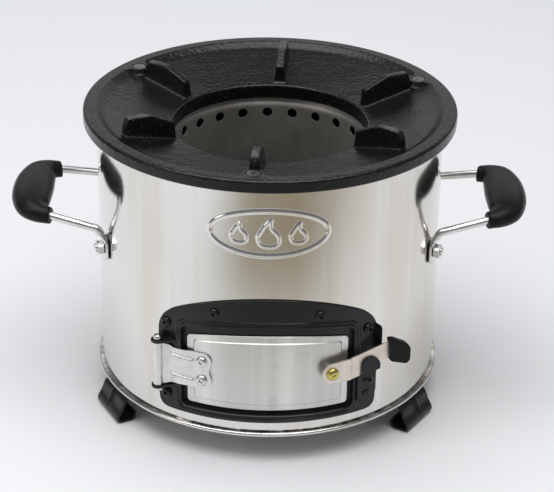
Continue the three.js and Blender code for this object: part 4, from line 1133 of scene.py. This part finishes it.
def hinge_ear(mesh, bottom, reach):
    """An eye round the hinge pin, tied to the frame's left edge."""
    def root(arc):
        angle = -math.pi / 2 + arc / BODY_R
        return (BODY_R + 1.2) * math.cos(angle), (BODY_R + 1.2) * math.sin(angle)

    eye = arc_points(PIN[:2], 5, 0, 360, 40)[:-1]
    outline = convex([*eye, root(PIN_ARC + 3), root(PIN_ARC + reach)])
    loops = []
    centre = np.mean(outline, 0)
    for height, inset in ((0, 0.35), (0.12, 0.1), (0.4, 0), (1.6, 0), (1.88, 0.1), (2, 0.35)):
        loop = []
        for point in outline:
            away = np.array(point) - centre
            loop.append((*(centre + away * (1 - inset / np.hypot(*away))), bottom + height))
        loops.append(loop)
    loft(loops, mesh=mesh)


def convex(points):
    """The convex outline round some points, anticlockwise."""
    def chain(ordered):
        kept = []
        for point in ordered:
            while len(kept) > 1:
                (ox, oy), (ax, ay) = kept[-2], kept[-1]
                if (ax - ox) * (point[1] - oy) - (ay - oy) * (point[0] - ox) > 0:
                    break
                kept.pop()
            kept.append(point)
        return kept[:-1]

    ordered = sorted(points)
    return chain(ordered) + chain(ordered[::-1])


def side_lug(mesh):
    """The low wall at the frame's right edge."""
    edge = FRAME_HALF - 0.4
    outline = eased([(edge, 83.5), (edge + 2, 83.5), (edge + 2, 101), (edge, 104)], 0.5)
    add_mesh(mesh, wrapped(sliced(slab(outline, FRAME_BACK, 6, 0.5), 0, 0.8)))


class STOVE_OT_door_frame(bpy.types.Operator):
    """Makes the black door frame with its hinge ears and side lug"""

    bl_idname = "stove.door_frame"
    bl_label = "Door frame"

    def execute(self, context):
        mesh = frame_mesh()
        hinge_ear(mesh, EAR_TOP - 2, 14)
        hinge_ear(mesh, EAR_BOTTOM, 10)
        side_lug(mesh)
        make_piece(mesh_object(mesh, "door_frame_black"), "black_enamel", ["door_frame"])
        return {"FINISHED"}


# ---- Door ----
def door_mesh(slope):
    rise = DOOR_FACE - DOOR_EDGE
    sections = [
        (door_outline(0.3, 0.3), DOOR_BACK),
        (door_outline(0, 0), DOOR_BACK + 0.3),
        (door_outline(0, 0), DOOR_EDGE - 0.3),
        (door_outline(0.3, 0.3), DOOR_EDGE),
        (door_outline(5.2, 4.4), DOOR_EDGE),
        (door_outline(5.5, 4.6), DOOR_EDGE + rise * 0.06),
        (door_outline(5.2 + slope * 0.5, 4.4 + slope * 0.4), DOOR_EDGE + rise * 0.55),
        (door_outline(5.0 + slope, 4.3 + slope * 0.8), DOOR_FACE - 0.05),
        (door_outline(5.5 + slope, 4.8 + slope * 0.8), DOOR_FACE),
        (door_outline(9 + slope, 8 + slope), DOOR_FACE),
    ]
    mesh = loft([at_depth(outline, depth) for outline, depth in sections])
    for i in range(-24, 25):
        wide = [f for f in mesh.faces if len(f.verts) > 4]
        geometry = set(wide) | {e for f in wide for e in f.edges} | {v for f in wide for v in f.verts}
        bmesh.ops.bisect_plane(
            mesh, geom=list(geometry), plane_co=(i * 2.5 + 0.03, 0, 0), plane_no=(1, 0, 0), dist=0.001
        )
    return wrapped(mesh)


class STOVE_OT_door(bpy.types.Operator):
    """Makes the brushed door plate with its raised panel"""

    bl_idname = "stove.door"
    bl_label = "Door plate"

    def execute(self, context):
        door = mesh_object(door_mesh(context.scene.stove_sizes.panel_slope / MM), "door_plate", 25)
        make_piece(door, "brushed_door", ["door_panel"], "door")
        return {"FINISHED"}


def strap_outline():
    """The strap seen from the front, with two lobes at its free end."""
    root, lobe = PIN_ARC + 1.6, STRAP_END - LOBE_R
    waist = (STRAP_HIGH + STRAP_LOW) / 2
    points = [(root, STRAP_LOW - 2.2), (PIN_ARC + 10, STRAP_LOW)]
    points += arc_points((lobe, STRAP_LOW + LOBE_R), LOBE_R, -90, 18, 14)
    points += [(STRAP_END - 1.5, waist - 1.6), (STRAP_END - 1.8, waist), (STRAP_END - 1.5, waist + 1.6)]
    points += arc_points((lobe, STRAP_HIGH - LOBE_R), LOBE_R, -18, 90, 14)
    return points + [(PIN_ARC + 10, STRAP_HIGH), (root, EAR_TOP - 2.3)]


def strap_lift(along, height):
    """How far the strap's back lies out of the body's surface, with its two pressed ribs."""
    path = [(PIN_ARC + step, PIN_OUT - drop) for step, drop in ((0.5, 1.0), (2.2, 1.3), (4.6, 3.3))]
    path += [(PIN_ARC + 7, 2.1), (-66, 2.1), (-63.5, 1.75), (-56, 0.4), (-30, 0.4)]
    lift = float(np.interp(along, *np.array(eased([(*p, 1.0) for p in path], closed=False)).T))
    for rib in (STRAP_HIGH - 6.6, STRAP_LOW + 6.6):
        tilt = rib - (along + 62) * 0.1
        across = abs(height - tilt) / 1.5
        ends = smooth_step(along, -74, -72.6) * (1 - smooth_step(along, -55.5, -54))
        lift += 1.1 * math.cos(min(across, 1) * math.pi / 2) ** 2 * ends
    return lift


def at_pin(height=0.0):
    return Matrix.Translation((PIN[0], PIN[1], height))


class STOVE_OT_strap(bpy.types.Operator):
    """Makes the hinge strap with its barrel, and the hinge pin and its nut"""

    bl_idname = "stove.strap"
    bl_label = "Hinge"

    def execute(self, context):
        strap = slab(strap_outline(), 0, 1.2, 0.25)
        sliced(sliced(strap, 0, 0.6), 2, 0.4)
        for vert in strap.verts:
            vert.co.y -= strap_lift(vert.co.x, vert.co.z)
        wrapped(strap)
        bottom, top = EAR_BOTTOM + 2.3, EAR_TOP - 2.3
        barrel = eased([(2.1, bottom), (3.8, bottom), (3.8, top), (2.1, top)], 0.35)
        add_mesh(strap, placed(lathe(barrel, 40), at_pin()))
        made = mesh_object(strap, "strap_with_barrel")
        make_piece(made, "zinc_steel", ["hinge_strap"], "door", "satin_zinc")

        tip, head = low("hinge_pin")[2], high("hinge_pin")[2]
        seat = EAR_TOP + 0.3
        dome = [(3.2, seat, 0.1), (3.2, seat + 1.5, 0.6), (2.5, head - 0.3, 0.7), (0, head, 0)]
        profile = [(0, tip), (1.5, tip), (1.9, tip + 0.5), (1.9, seat), *eased(dome, closed=False)]
        pin = placed(lathe(profile, 32), at_pin())
        make_piece(mesh_object(pin, "hinge_pin_bright"), "zinc_steel", ["hinge_pin"])
        nut = placed(hex_nut(5.5, 2.05, 2.6), at_pin(low("hinge_pin_nut")[2]))
        make_piece(mesh_object(nut, "hinge_pin_lock_nut"), "zinc_steel", ["hinge_pin_nut"])
        return {"FINISHED"}


# ---- Latch, drawn flat in the tangent plane at its pivot ----
def pivot_depth(node, edge):
    """Distance of a CAD node's near or far face from the axis, along the pivot's direction."""
    out = np.array((math.cos(PIVOT_AZIMUTH), math.sin(PIVOT_AZIMUTH)))
    mesh = frame["nodes"][node].data
    reach = [v.co.x * out[0] + v.co.y * out[1] for v in mesh.vertices]
    return (min(reach) if edge == "near" else max(reach)) / MM


def lever_mesh():
    near = pivot_depth("latch_lever", "near")
    far = pivot_depth("latch_lever", "far")
    wall = 1.5
    joggle = far - near - wall
    end = arc_points((0, 0), 8, 100, 275, 22)
    arm = [(17, -7.8), (22.6, -5.8), (46.5, 6.1), (47.5, 18.8), (41.6, 17.5), (16.5, 10)]
    outline = end + eased([end[-1], *arm, end[0]], 3.0, closed=False)[1:-1]
    lever = sliced(slab(outline, 0, wall, 0.3), 0, 1.0)
    for vert in lever.verts:
        bend = float(smooth_step(np.float64(vert.co.x), 13.6, 16.2))
        dished = 0.12 * math.exp(-((vert.co.x - 13.4) ** 2) / 1.2)
        vert.co.y -= near + joggle * (1 - bend) + dished
    return placed(lever, body_frame(PIVOT_AZIMUTH, PIVOT[2]))


def knob_mesh():
    near, far = pivot_depth("latch_knob", "near"), pivot_depth("latch_knob", "far")
    outline = [
        (44.4, 4, 0.6),
        (46, 2.4, 0.8),
        (57.6, -1.1, 1.4),
        (60.6, 1.6, 1.6),
        (60.8, 11.8, 2.4),
        (58, 15.6, 2.4),
        (46.7, 21.6, 2.0),
        (43, 21.2, 1.0),
        (43.6, 18.2, 1.0),
    ]
    knob = slab(eased(outline, steps=5), near, far, 1.1)
    return placed(knob, body_frame(PIVOT_AZIMUTH, PIVOT[2]))


def catch_meshes():
    """The strip on the frame, its shelf and the rounded tongue in front of the lever."""
    right = FRAME_HALF - 1
    left, bottom, shelf = right - 16.4, low("latch_catch")[2], PIVOT[2] - 5.9
    face = FRAME_FACE + 0.3
    foot = [(left, bottom), (right - 4, bottom), (right, bottom + 5), (right, shelf), (left, shelf)]
    strip = wrapped(sliced(slab(eased(foot, 1.2), face, face + 1.5, 0.35), 0, 1.5))
    far = pivot_depth("latch_catch", "far")
    inward = BODY_R + face - 1.0 - 12
    shelf_outline = eased([(23.5, inward), (33.8, inward), (33.8, far - 0.2), (23.5, far - 0.2)], 0.3)
    plate = loft([[(x, -out, z) for x, out in shelf_outline] for z in (-7.4, -5.9)])
    placed(plate, body_frame(PIVOT_AZIMUTH, PIVOT[2]))
    tongue = [(22.5, -7.4, 0.6), (33.8, -7.4, 0.6), (33.9, -2.7, 0.8), (37.3, -1.8, 1.0), (37.3, 1.3, 0)]
    outline = eased(tongue, closed=False)[:-1] + arc_points((29.9, 1.3), 7.4, 0, 180, 24)
    hook = placed(slab(outline, far - 1.5, far, 0.4), body_frame(PIVOT_AZIMUTH, PIVOT[2]))
    return strip, plate, hook


class STOVE_OT_latch(bpy.types.Operator):
    """Makes the latch lever, its knob and the hooked catch"""

    bl_idname = "stove.latch"
    bl_label = "Latch"

    def execute(self, context):
        make_piece(mesh_object(lever_mesh(), "lever_plate"), "nickel", ["latch_lever"], "latch")
        make_piece(mesh_object(knob_mesh(), "lever_knob"), "black_plastic", ["latch_knob"], "latch")
        names = ("catch_hook", "shelf", "tongue")
        strip, plate, hook = (mesh_object(mesh, name) for mesh, name in zip(catch_meshes(), names))
        carved(strip, plate, "UNION")
        carved(strip, hook, "UNION")
        make_piece(resharpened(strip), "black_enamel", ["latch_catch"])
        return {"FINISHED"}


# ---- Fasteners ----
def hex_nut(flats, bore, height):
    """A chamfered hexagon nut on the XY plane."""
    angles = np.linspace(0, 2 * math.pi, 48, endpoint=False)
    reach = flats / 2 / np.cos((angles + math.pi / 6) % (math.pi / 3) - math.pi / 6)
    chamfer = np.minimum(reach, flats / 2 + 0.15)
    drop = (reach - chamfer) * 0.55
    rows = [
        (np.full(48, bore), np.full(48, 0.3)),
        (np.full(48, bore + 0.4), np.zeros(48)),
        (chamfer, np.zeros(48)),
        (reach, drop + 0.05),
        (reach, height - drop - 0.05),
        (chamfer, np.full(48, height)),
        (np.full(48, bore + 0.4), np.full(48, height)),
        (np.full(48, bore), np.full(48, height - 0.3)),
    ]
    loops = [[(r * math.cos(a), r * math.sin(a), z) for a, r, z in zip(angles, *row)] for row in rows]
    return loft(loops, ring=True)


def dished_head(radius, height, shank, reach):
    """A low round head with a dished middle, on the XY plane with its shank below."""
    profile = [(0, -reach), (shank, -reach), (shank, 0)]
    profile += eased(
        [
            (radius, 0, 0.1),
            (radius, height * 0.4, 0.6),
            (radius * 0.72, height * 0.93, 0.8),
            (radius * 0.38, height, 0.3),
            (radius * 0.27, height * 0.25, 0.2),
            (0, height * 0.2, 0),
        ],
        closed=False,
    )
    return lathe(profile, 36)


def pan_head(radius, height, shank, reach):
    """A rounded pan head, before its cross is cut."""
    profile = [(0, -reach), (shank, -reach), (shank, 0)]
    profile += eased(
        [(radius, 0, 0.1), (radius, height * 0.5, 1.0), (radius * 0.55, height, 2.2), (0, height, 0)],
        closed=False,
    )
    return lathe(profile, 40)


def flat_head(radius, shank, reach):
    """A countersunk head with its face on the XY plane, before its cross is cut."""
    profile = [(0, -reach), (shank, -reach), (shank, shank - radius - 0.3)]
    profile += [(radius, -0.35), (radius - 0.2, 0), (0, 0)]
    return lathe(profile, 40)


def crossed(head, top, length, depth):
    """Cuts a tapered cross recess into a head."""
    made = mesh_object(head, "head", 40)
    for turn in (0, math.pi / 2):
        arm = bmesh.new()
        bmesh.ops.create_cube(arm, size=1)
        for vert in arm.verts:
            taper = 1.0 if vert.co.z > 0 else 0.45
            x, y, z = vert.co
            vert.co = (x * length * taper, y * 1.1 * (0.6 + 0.4 * taper), z * depth * 2)
        arm.transform(Matrix.Translation((0, 0, top)) @ Matrix.Rotation(turn + 0.5, 4, "Z"))
        carved(made, mesh_object(arm, "arm"), "DIFFERENCE")
    return resharpened(made, 40)


def seat_of(node, lift):
    """A frame at a radial fastener: Z straight out, with the origin a little below the head's top."""
    place = middle(node)
    out = frame["nodes"][node].data.vertices
    reach = max(math.hypot(v.co.x, v.co.y) for v in out) / MM
    return outward(azimuth(place), reach - lift, place[2])


def fasteners(name, head, slot, nodes, lift, body="root"):
    """One mesh of like fasteners, set where their CAD nodes are."""
    points = [seat_of(node, lift) for node in nodes]
    make_piece(repeated(name, places_tree(), head, slot, points), slot, nodes, body)


class STOVE_OT_fasteners(bpy.types.Operator):
    """Makes the screws, rivets, bolts and nuts"""

    bl_idname = "stove.fasteners"
    bl_label = "Fasteners"

    def execute(self, context):
        black = mesh_object(dished_head(4, 2.3, 1.9, 7), "pan")
        fasteners("frame_pan_screws", black, "black_enamel", [f"frame_screw_{i}" for i in range(1, 7)], 2.3)
        small = mesh_object(dished_head(2.8, 1.2, 1.9, 6), "small")
        fasteners("catch_small_rivet", small, "black_enamel", ["catch_rivet"], 1.2)
        bright = mesh_object(dished_head(RIVET_R, 2.3, 1.9, 5), "bright")
        fasteners("strap_rivets", bright, "zinc_steel", ["strap_rivet_1", "strap_rivet_2"], 2.3, "door")
        yellow = crossed(pan_head(4.75, 3, 2.4, 8), 3, 5.4, 1.6)
        fasteners("latch_cross_screw", yellow, "yellow_zinc", ["latch_screw"], 3, "door")
        spacer = eased([(2.7, 0), (3.9, 0), (3.9, 4.3), (2.7, 4.3)], 0.3)
        seat = outward(PIVOT_AZIMUTH, pivot_depth("latch_spacer", "near"), PIVOT[2])
        bush = mesh_object(placed(lathe(spacer, 40), seat), "latch_bush")
        make_piece(bush, "zinc_steel", ["latch_spacer"], "door")

        flat = crossed(flat_head(5, 2.4, 17.5), 0, 5.8, 1.5)
        turns = [azimuth(middle(f"ring_screw_{i}")) for i in (1, 2, 3)]
        points = [
            Matrix.Translation((RING_SCREW_R * math.cos(a), RING_SCREW_R * math.sin(a), RIM_Z - 0.15))
            @ Matrix.Rotation(a * 1.7, 4, "Z")
            for a in turns
        ]
        screws = repeated("ring_screws", places_tree(), flat, "zinc_steel", points)
        make_piece(screws, "zinc_steel", [f"ring_screw_{i}" for i in (1, 2, 3)], finish="dull_zinc")

        sides = [f"{side}_{end}" for side in ("right", "left") for end in ("front", "back")]
        nut = mesh_object(hex_nut(10, 3, 4.6), "nut")
        fasteners("handle_nuts", nut, "zinc_steel", [f"handle_nut_{s}" for s in sides], 4.6)
        tip = [(0, -14), (5.2, -14), (5.2, -12.2), (2.85, -11.7), (2.85, 0)]
        tip += eased([(2.85, 0.6, 0.2), (2.3, 1.5, 0.3), (0, 1.7, 0)], closed=False)
        bolt = mesh_object(lathe(tip, 32), "bolt")
        fasteners("handle_bolts", bolt, "zinc_steel", [f"handle_bolt_{s}" for s in sides], 1.5)
        return {"FINISHED"}


# ---- Handles ----
HANDLE_TURN = math.radians(21.5)
ROD_R = 3


def handle_path():
    """Points of the rod's middle line on the +X side, from the front bolt to the back one."""
    bolt = middle("handle_bolt_right_front")
    leg = BODY_R + 4.4
    leg_x, leg_y = leg * math.cos(HANDLE_TURN), leg * math.sin(HANDLE_TURN)
    grip_x, grip_z = BODY_R + 50.3, bolt[2] + 24
    half = [
        (leg_x, leg_y, bolt[2] + 5.8),
        (leg_x + 0.2, leg_y, bolt[2] + 10.5),
        (leg_x + 3.2, leg_y - 0.3, bolt[2] + 14.8),
        (leg_x + 10, leg_y - 1.2, bolt[2] + 16.7),
        (leg_x + 26, leg_y - 4.6, bolt[2] + 19.7),
        (grip_x - 17.3, leg_y - 7.4, grip_z - 2.1),
        (grip_x - 8.8, leg_y - 10.4, grip_z - 1),
        (grip_x - 3, leg_y - 17.2, grip_z - 0.2),
        (grip_x - 0.6, leg_y - 31, grip_z),
    ]
    front = [(x, -y, z) for x, y, z in half]
    return [*front, (grip_x, 0, grip_z), *half[::-1]]


def rounded(power, count=24):
    """A unit outline between a circle, at power 2, and a square."""
    angles = np.linspace(0, 2 * math.pi, count, endpoint=False)
    c, s = np.cos(angles), np.sin(angles)
    return np.stack((np.sign(c) * np.abs(c) ** (2 / power), np.sign(s) * np.abs(s) ** (2 / power)), 1)


def tab_rows(start, sign):
    """Sections of a flattened, rounded end, from its tip up to the rod, whose height is given."""
    angle = sign * HANDLE_TURN
    out = np.array((math.cos(angle), math.sin(angle), 0))
    along = np.array((-math.sin(angle), math.cos(angle), 0))
    bottom = start - low("handle_rod_right")[2]
    rows = []
    for drop, half, thick in (
        (bottom, 1.6, 0.9),
        (bottom - 0.35, 3.4, 1.35),
        (bottom - 1.3, 4.9, 1.5),
        (bottom - 3.2, 6.1, 1.5),
        (bottom - 6, 6.5, 1.5),
        (3.5, 6.5, 1.5),
        (1.0, 6.2, 1.55),
        (-0.8, 5.3, 1.8),
        (-2.4, 4.2, 2.3),
        (-3.8, 3.4, 2.75),
    ):
        centre = out * (BODY_R + 0.3 + 1.5 + (thick - 1.5) * 0.9) + (0, 0, start - drop)
        power = 2.8 if thick < 2.4 else 2.0
        rows.append([centre + along * (half * c) + out * (thick * s) for c, s in rounded(power)])
    return rows


def across_rod(tangent, angle):
    """A direction across the rod that turns evenly from the front end to the back end."""
    along = Vector((-math.sin(angle), math.cos(angle), 0))
    blend = min(1.0, abs(tangent.y) * 1.3)
    across = along * (1 - blend) + Vector((-1, 0, 0)) * blend
    across -= tangent * across.dot(tangent)
    return np.array(across.normalized())


def rod_mesh(side):
    """The bent rod with its two flattened, rounded ends."""
    points = spline(handle_path(), 12)
    tangents = np.gradient(points, axis=0)
    tangents /= np.linalg.norm(tangents, axis=1)[:, None]
    start, half = points[0][2], len(points) / 2
    loops = tab_rows(start, -1)
    for i, (point, tangent) in enumerate(zip(points, tangents)):
        if point[2] < start + 5.0:
            continue
        sign = -1 if i < half else 1
        across = across_rod(Vector(tangent), sign * HANDLE_TURN * min(1.0, abs(i - half) / half))
        other = np.cross(tangent, across)
        loops.append([point + across * (ROD_R * c) + other * (-ROD_R * s) for c, s in rounded(2.0)])
    rod = loft(loops + tab_rows(start, 1)[::-1])
    return to_side(rod, side)


def to_side(mesh, side):
    """Turns a handle's mesh from the right side to its own."""
    return placed(mesh, Matrix.Rotation(math.pi, 4, "Z")) if side == "left" else mesh


def grip_mesh(side):
    """The moulded grip: round collars that swell into a fat oval in the middle."""
    points = spline(handle_path(), 20)
    tangents = np.gradient(points, axis=0)
    first, last = 100, len(points) - 1 - 100
    indices = np.arange(len(points))
    end_r, wide, tall = 6.4, 15.6, 10.4
    angles = np.linspace(0, 2 * math.pi, 32, endpoint=False)
    ends = [(0, 3.1, 0.0), (0, 0.8, 0.0), (0, 0.25, 0.25), (0, 0.0, 1.0)]
    middle_rows = [(share, 0.0, 0.0) for share in np.linspace(0, 1, 61)[1:-1]]
    rows = ends + middle_rows + [(1, shrink, -shift) for _, shrink, shift in ends[::-1]]
    loops = []
    for share, shrink, shift in rows:
        at = first + share * (last - first)
        here = np.array([np.interp(at, indices, points[:, axis]) for axis in range(3)])
        along = np.array([np.interp(at, indices, tangents[:, axis]) for axis in range(3)])
        along[2] = 0
        along /= np.linalg.norm(along)
        across = np.array((along[1], -along[0], 0))
        swell = math.sin(math.pi * share) ** 1.5 if 0 < share < 1 else 0
        half_wide = end_r + (wide - end_r) * swell - shrink
        half_tall = end_r + (tall - end_r) * swell - shrink
        centre = here + along * shift
        circle = [(half_wide * math.cos(a), half_tall * math.sin(a)) for a in angles]
        loops.append([centre + across * out + (0, 0, up) for out, up in circle])
    return to_side(loft(loops), side)


class STOVE_OT_handles(bpy.types.Operator):
    """Makes both handle rods and their moulded grips"""

    bl_idname = "stove.handles"
    bl_label = "Handles"

    def execute(self, context):
        for side in ("right", "left"):
            rod = mesh_object(rod_mesh(side), f"handle_bar_{side}", 50)
            make_piece(rod, "zinc_steel", [f"handle_rod_{side}"])
            grip = mesh_object(grip_mesh(side), f"handle_cover_{side}", 50)
            make_piece(grip, "black_plastic", [f"handle_grip_{side}"])
        return {"FINISHED"}


# ---- Feet ----
def foot_mesh():
    """One foot along +X: flange, flared face with a pressed groove, and a sole with a turned-up end."""
    top, top_x, wall = FOOT_HEIGHT - 0.3, BODY_R - 0.3, 2.0
    flare, half = 8.4, 1.0
    floor_x = top_x + flare
    line = [
        (top_x - 25, top - half),
        (top_x - 3, top - half),
        (top_x + 0.8, top - half - 1.6),
        (top_x + flare * 0.6, top * 0.5),
        (floor_x, 4.6),
        (floor_x - 0.6, 2.2),
        (floor_x - 2.6, half),
        (floor_x - 10.5, half),
        (floor_x - 13.6, half + 2),
        (floor_x - 14.5, half + 6),
    ]
    centre = spline(line, 5)
    ahead = np.gradient(centre, axis=0)
    normal = np.stack((-ahead[:, 1], ahead[:, 0]), 1) / np.linalg.norm(ahead, axis=1)[:, None]
    width = 19.0
    edge = [(-width, 0.45), (-width + 0.15, 0.15), (-width + 0.5, 0)]
    edge += [(y, 0) for y in np.linspace(-width + 3, -5, 6)]
    groove = [(y, 0) for y in np.linspace(-3.6, 3.6, 19)]
    loops = []
    for y, ease in edge + groove + [(-y, ease) for y, ease in edge[::-1]]:
        pressed = 1.8 * (1 - float(smooth_step(np.float64(abs(y)), 1.0, 2.3)))
        pressed -= 0.3 * math.exp(-(((abs(y) - 2.9) / 0.5) ** 2))
        loop_out, loop_in = [], []
        for (x, z), (nx, nz) in zip(centre, normal):
            on_face = float(smooth_step(np.float64(z), 7.5, 9.5)) * float(x > top_x - 6)
            push = pressed * on_face
            sag = max(0.0, half - z) if z < half else 0.0
            loop_out.append((x - push + nx * (half - ease), y, max(0.0, z + sag + nz * (half - ease))))
            loop_in.append((x - push - nx * (half - ease), y, max(0.0, z + sag - nz * (half - ease))))
        loops.append(loop_out + loop_in[::-1])
    return loft(loops)


class STOVE_OT_feet(bpy.types.Operator):
    """Makes the three bent-plate feet"""

    bl_idname = "stove.feet"
    bl_label = "Feet"

    def execute(self, context):
        shape = mesh_object(foot_mesh(), "foot", 40)
        turn = azimuth(middle("foot_back"))
        feet = repeated("feet_black", axis_tree(), shape, "black_enamel", Count=3, Turn=turn)
        make_piece(feet, "black_enamel", ["foot_front_left", "foot_front_right", "foot_back"])
        return {"FINISHED"}


# ---- CAD nodes that stay ----
class STOVE_OT_hidden_parts(bpy.types.Operator):
    """Gives the CAD nodes that stay their finishes"""

    bl_idname = "stove.hidden_parts"
    bl_label = "Parts kept from the frame"

    def execute(self, context):
        slots = {row["node"]: row["material_slot"] for row in frame["record"]["subparts"]}
        for name, node in frame["nodes"].items():
            if not node.hide_render:
                node.data.materials.clear()
                node.data.materials.append(finish_of(slots[name]))
        return {"FINISHED"}


# ---- Studio ----
def floor_finish(colour):
    """Pale paper, with a warm shade in front of the stove that its body mirrors."""
    shader = Shader("studio_floor")
    across, along = shader.part(0), shader.part(1)
    front = shader.between(along, -0.17, -0.50) * shader.between(along, -0.95, -0.65)
    wide = shader.between(across, 0.10, 0.70, 1.0, 0.25) * shader.between(across, -0.40, -0.06)
    base = shader.mix(front * wide, colour, (0.30, 0.262, 0.19))
    return shader.finish(base_color=base, roughness=0.75)


def area_light(name, place, target, size, power, colour=(1, 1, 1)):
    data = bpy.data.lights.new(name, "AREA")
    data.shape = "RECTANGLE"
    data.size, data.size_y = size
    data.energy = power
    data.color = colour
    light = linked_object(name, data)
    light.location = place
    light.rotation_euler = (Vector(target) - Vector(place)).to_track_quat("-Z", "Y").to_euler()
    light.visible_camera = False


def turned_pair(first, second, angle):
    """Two square directions turned in their own plane, the first towards the second."""
    c, s = math.cos(angle), math.sin(angle)
    return first * c + second * s, second * c - first * s


def studio_camera():
    """The camera looks down at the front of the stove, a little rolled and panned."""
    elevation, distance = math.radians(26.752), 1.5421
    roll, pan = math.radians(0.637), math.radians(0.237)
    back = Vector((0, -math.cos(elevation), math.sin(elevation)))
    ahead = -back
    right = ahead.cross(Vector((0, 0, 1))).normalized()
    up = right.cross(ahead)
    right, up = turned_pair(right, up, roll)
    ahead, right = turned_pair(ahead, right, pan)
    data = bpy.data.cameras.new("camera")
    data.lens = 129.26
    data.clip_start, data.clip_end = 0.05, 50
    camera = linked_object("camera", data)
    camera.matrix_world = Matrix((right, up, -ahead)).transposed().to_4x4()
    camera.location = Vector((0, 0, 0.113)) + back * distance
    bpy.context.scene.camera = camera


class STOVE_OT_stage(bpy.types.Operator):
    """Makes the pale floor, the soft lights and the camera"""

    bl_idname = "stove.stage"
    bl_label = "Studio"

    def execute(self, context):
        mesh = bmesh.new()
        bmesh.ops.create_circle(mesh, cap_ends=True, radius=6, segments=96)
        data = bpy.data.meshes.new("studio_floor")
        mesh.to_mesh(data)
        mesh.free()
        floor = linked_object("studio_floor", data)
        floor.data.materials.append(floor_finish(tuple(context.scene.stove_colours.floor)))

        world = bpy.data.worlds.new("studio")
        world.use_nodes = True
        background = world.node_tree.nodes["Background"]
        background.inputs["Color"].default_value = (0.93, 0.95, 1.0, 1)
        background.inputs["Strength"].default_value = 0.22
        context.scene.world = world
        target = (0, 0, 0.1)
        area_light("key_light", (-0.12, -0.35, 2.4), target, (3.0, 2.4), 72)
        area_light("back_panel", (0, 1.8, 0.95), (0, 0, 0.35), (2.8, 0.7), 3.6)
        area_light("side_light", (-1.7, -0.8, 1.1), target, (0.7, 0.9), 3)
        context.scene.view_settings.view_transform = "Standard"
        studio_camera()
        return {"FINISHED"}


# ---- Add-on ----
class STOVE_PT_panel(bpy.types.Panel):
    """Lists the stove's operators"""

    bl_idname = "STOVE_PT_panel"
    bl_label = "Rocket stove"
    bl_space_type = "VIEW_3D"
    bl_region_type = "UI"
    bl_category = "Stove"

    def draw(self, context):
        layout = self.layout
        for group in (context.scene.stove_sizes, context.scene.stove_colours):
            for name in group.__annotations__:
                layout.prop(group, name)
        for operator in OPERATORS:
            layout.operator(operator.bl_idname)


OPERATORS = (
    STOVE_OT_body,
    STOVE_OT_ring,
    STOVE_OT_chamber,
    STOVE_OT_door_frame,
    STOVE_OT_door,
    STOVE_OT_strap,
    STOVE_OT_latch,
    STOVE_OT_fasteners,
    STOVE_OT_handles,
    STOVE_OT_feet,
    STOVE_OT_hidden_parts,
    STOVE_OT_stage,
)
CLASSES = (StoveSizes, StoveColours, *OPERATORS, STOVE_PT_panel)


def register():
    for cls in CLASSES:
        bpy.utils.register_class(cls)
    bpy.types.Scene.stove_sizes = PointerProperty(type=StoveSizes)
    bpy.types.Scene.stove_colours = PointerProperty(type=StoveColours)


def unregister():
    del bpy.types.Scene.stove_colours
    del bpy.types.Scene.stove_sizes
    for cls in reversed(CLASSES):
        bpy.utils.unregister_class(cls)


def main():
    register()
    for operator in OPERATORS:
        group, name = operator.bl_idname.split(".")
        getattr(getattr(bpy.ops, group), name)()


if __name__ == "__main__":
    main()
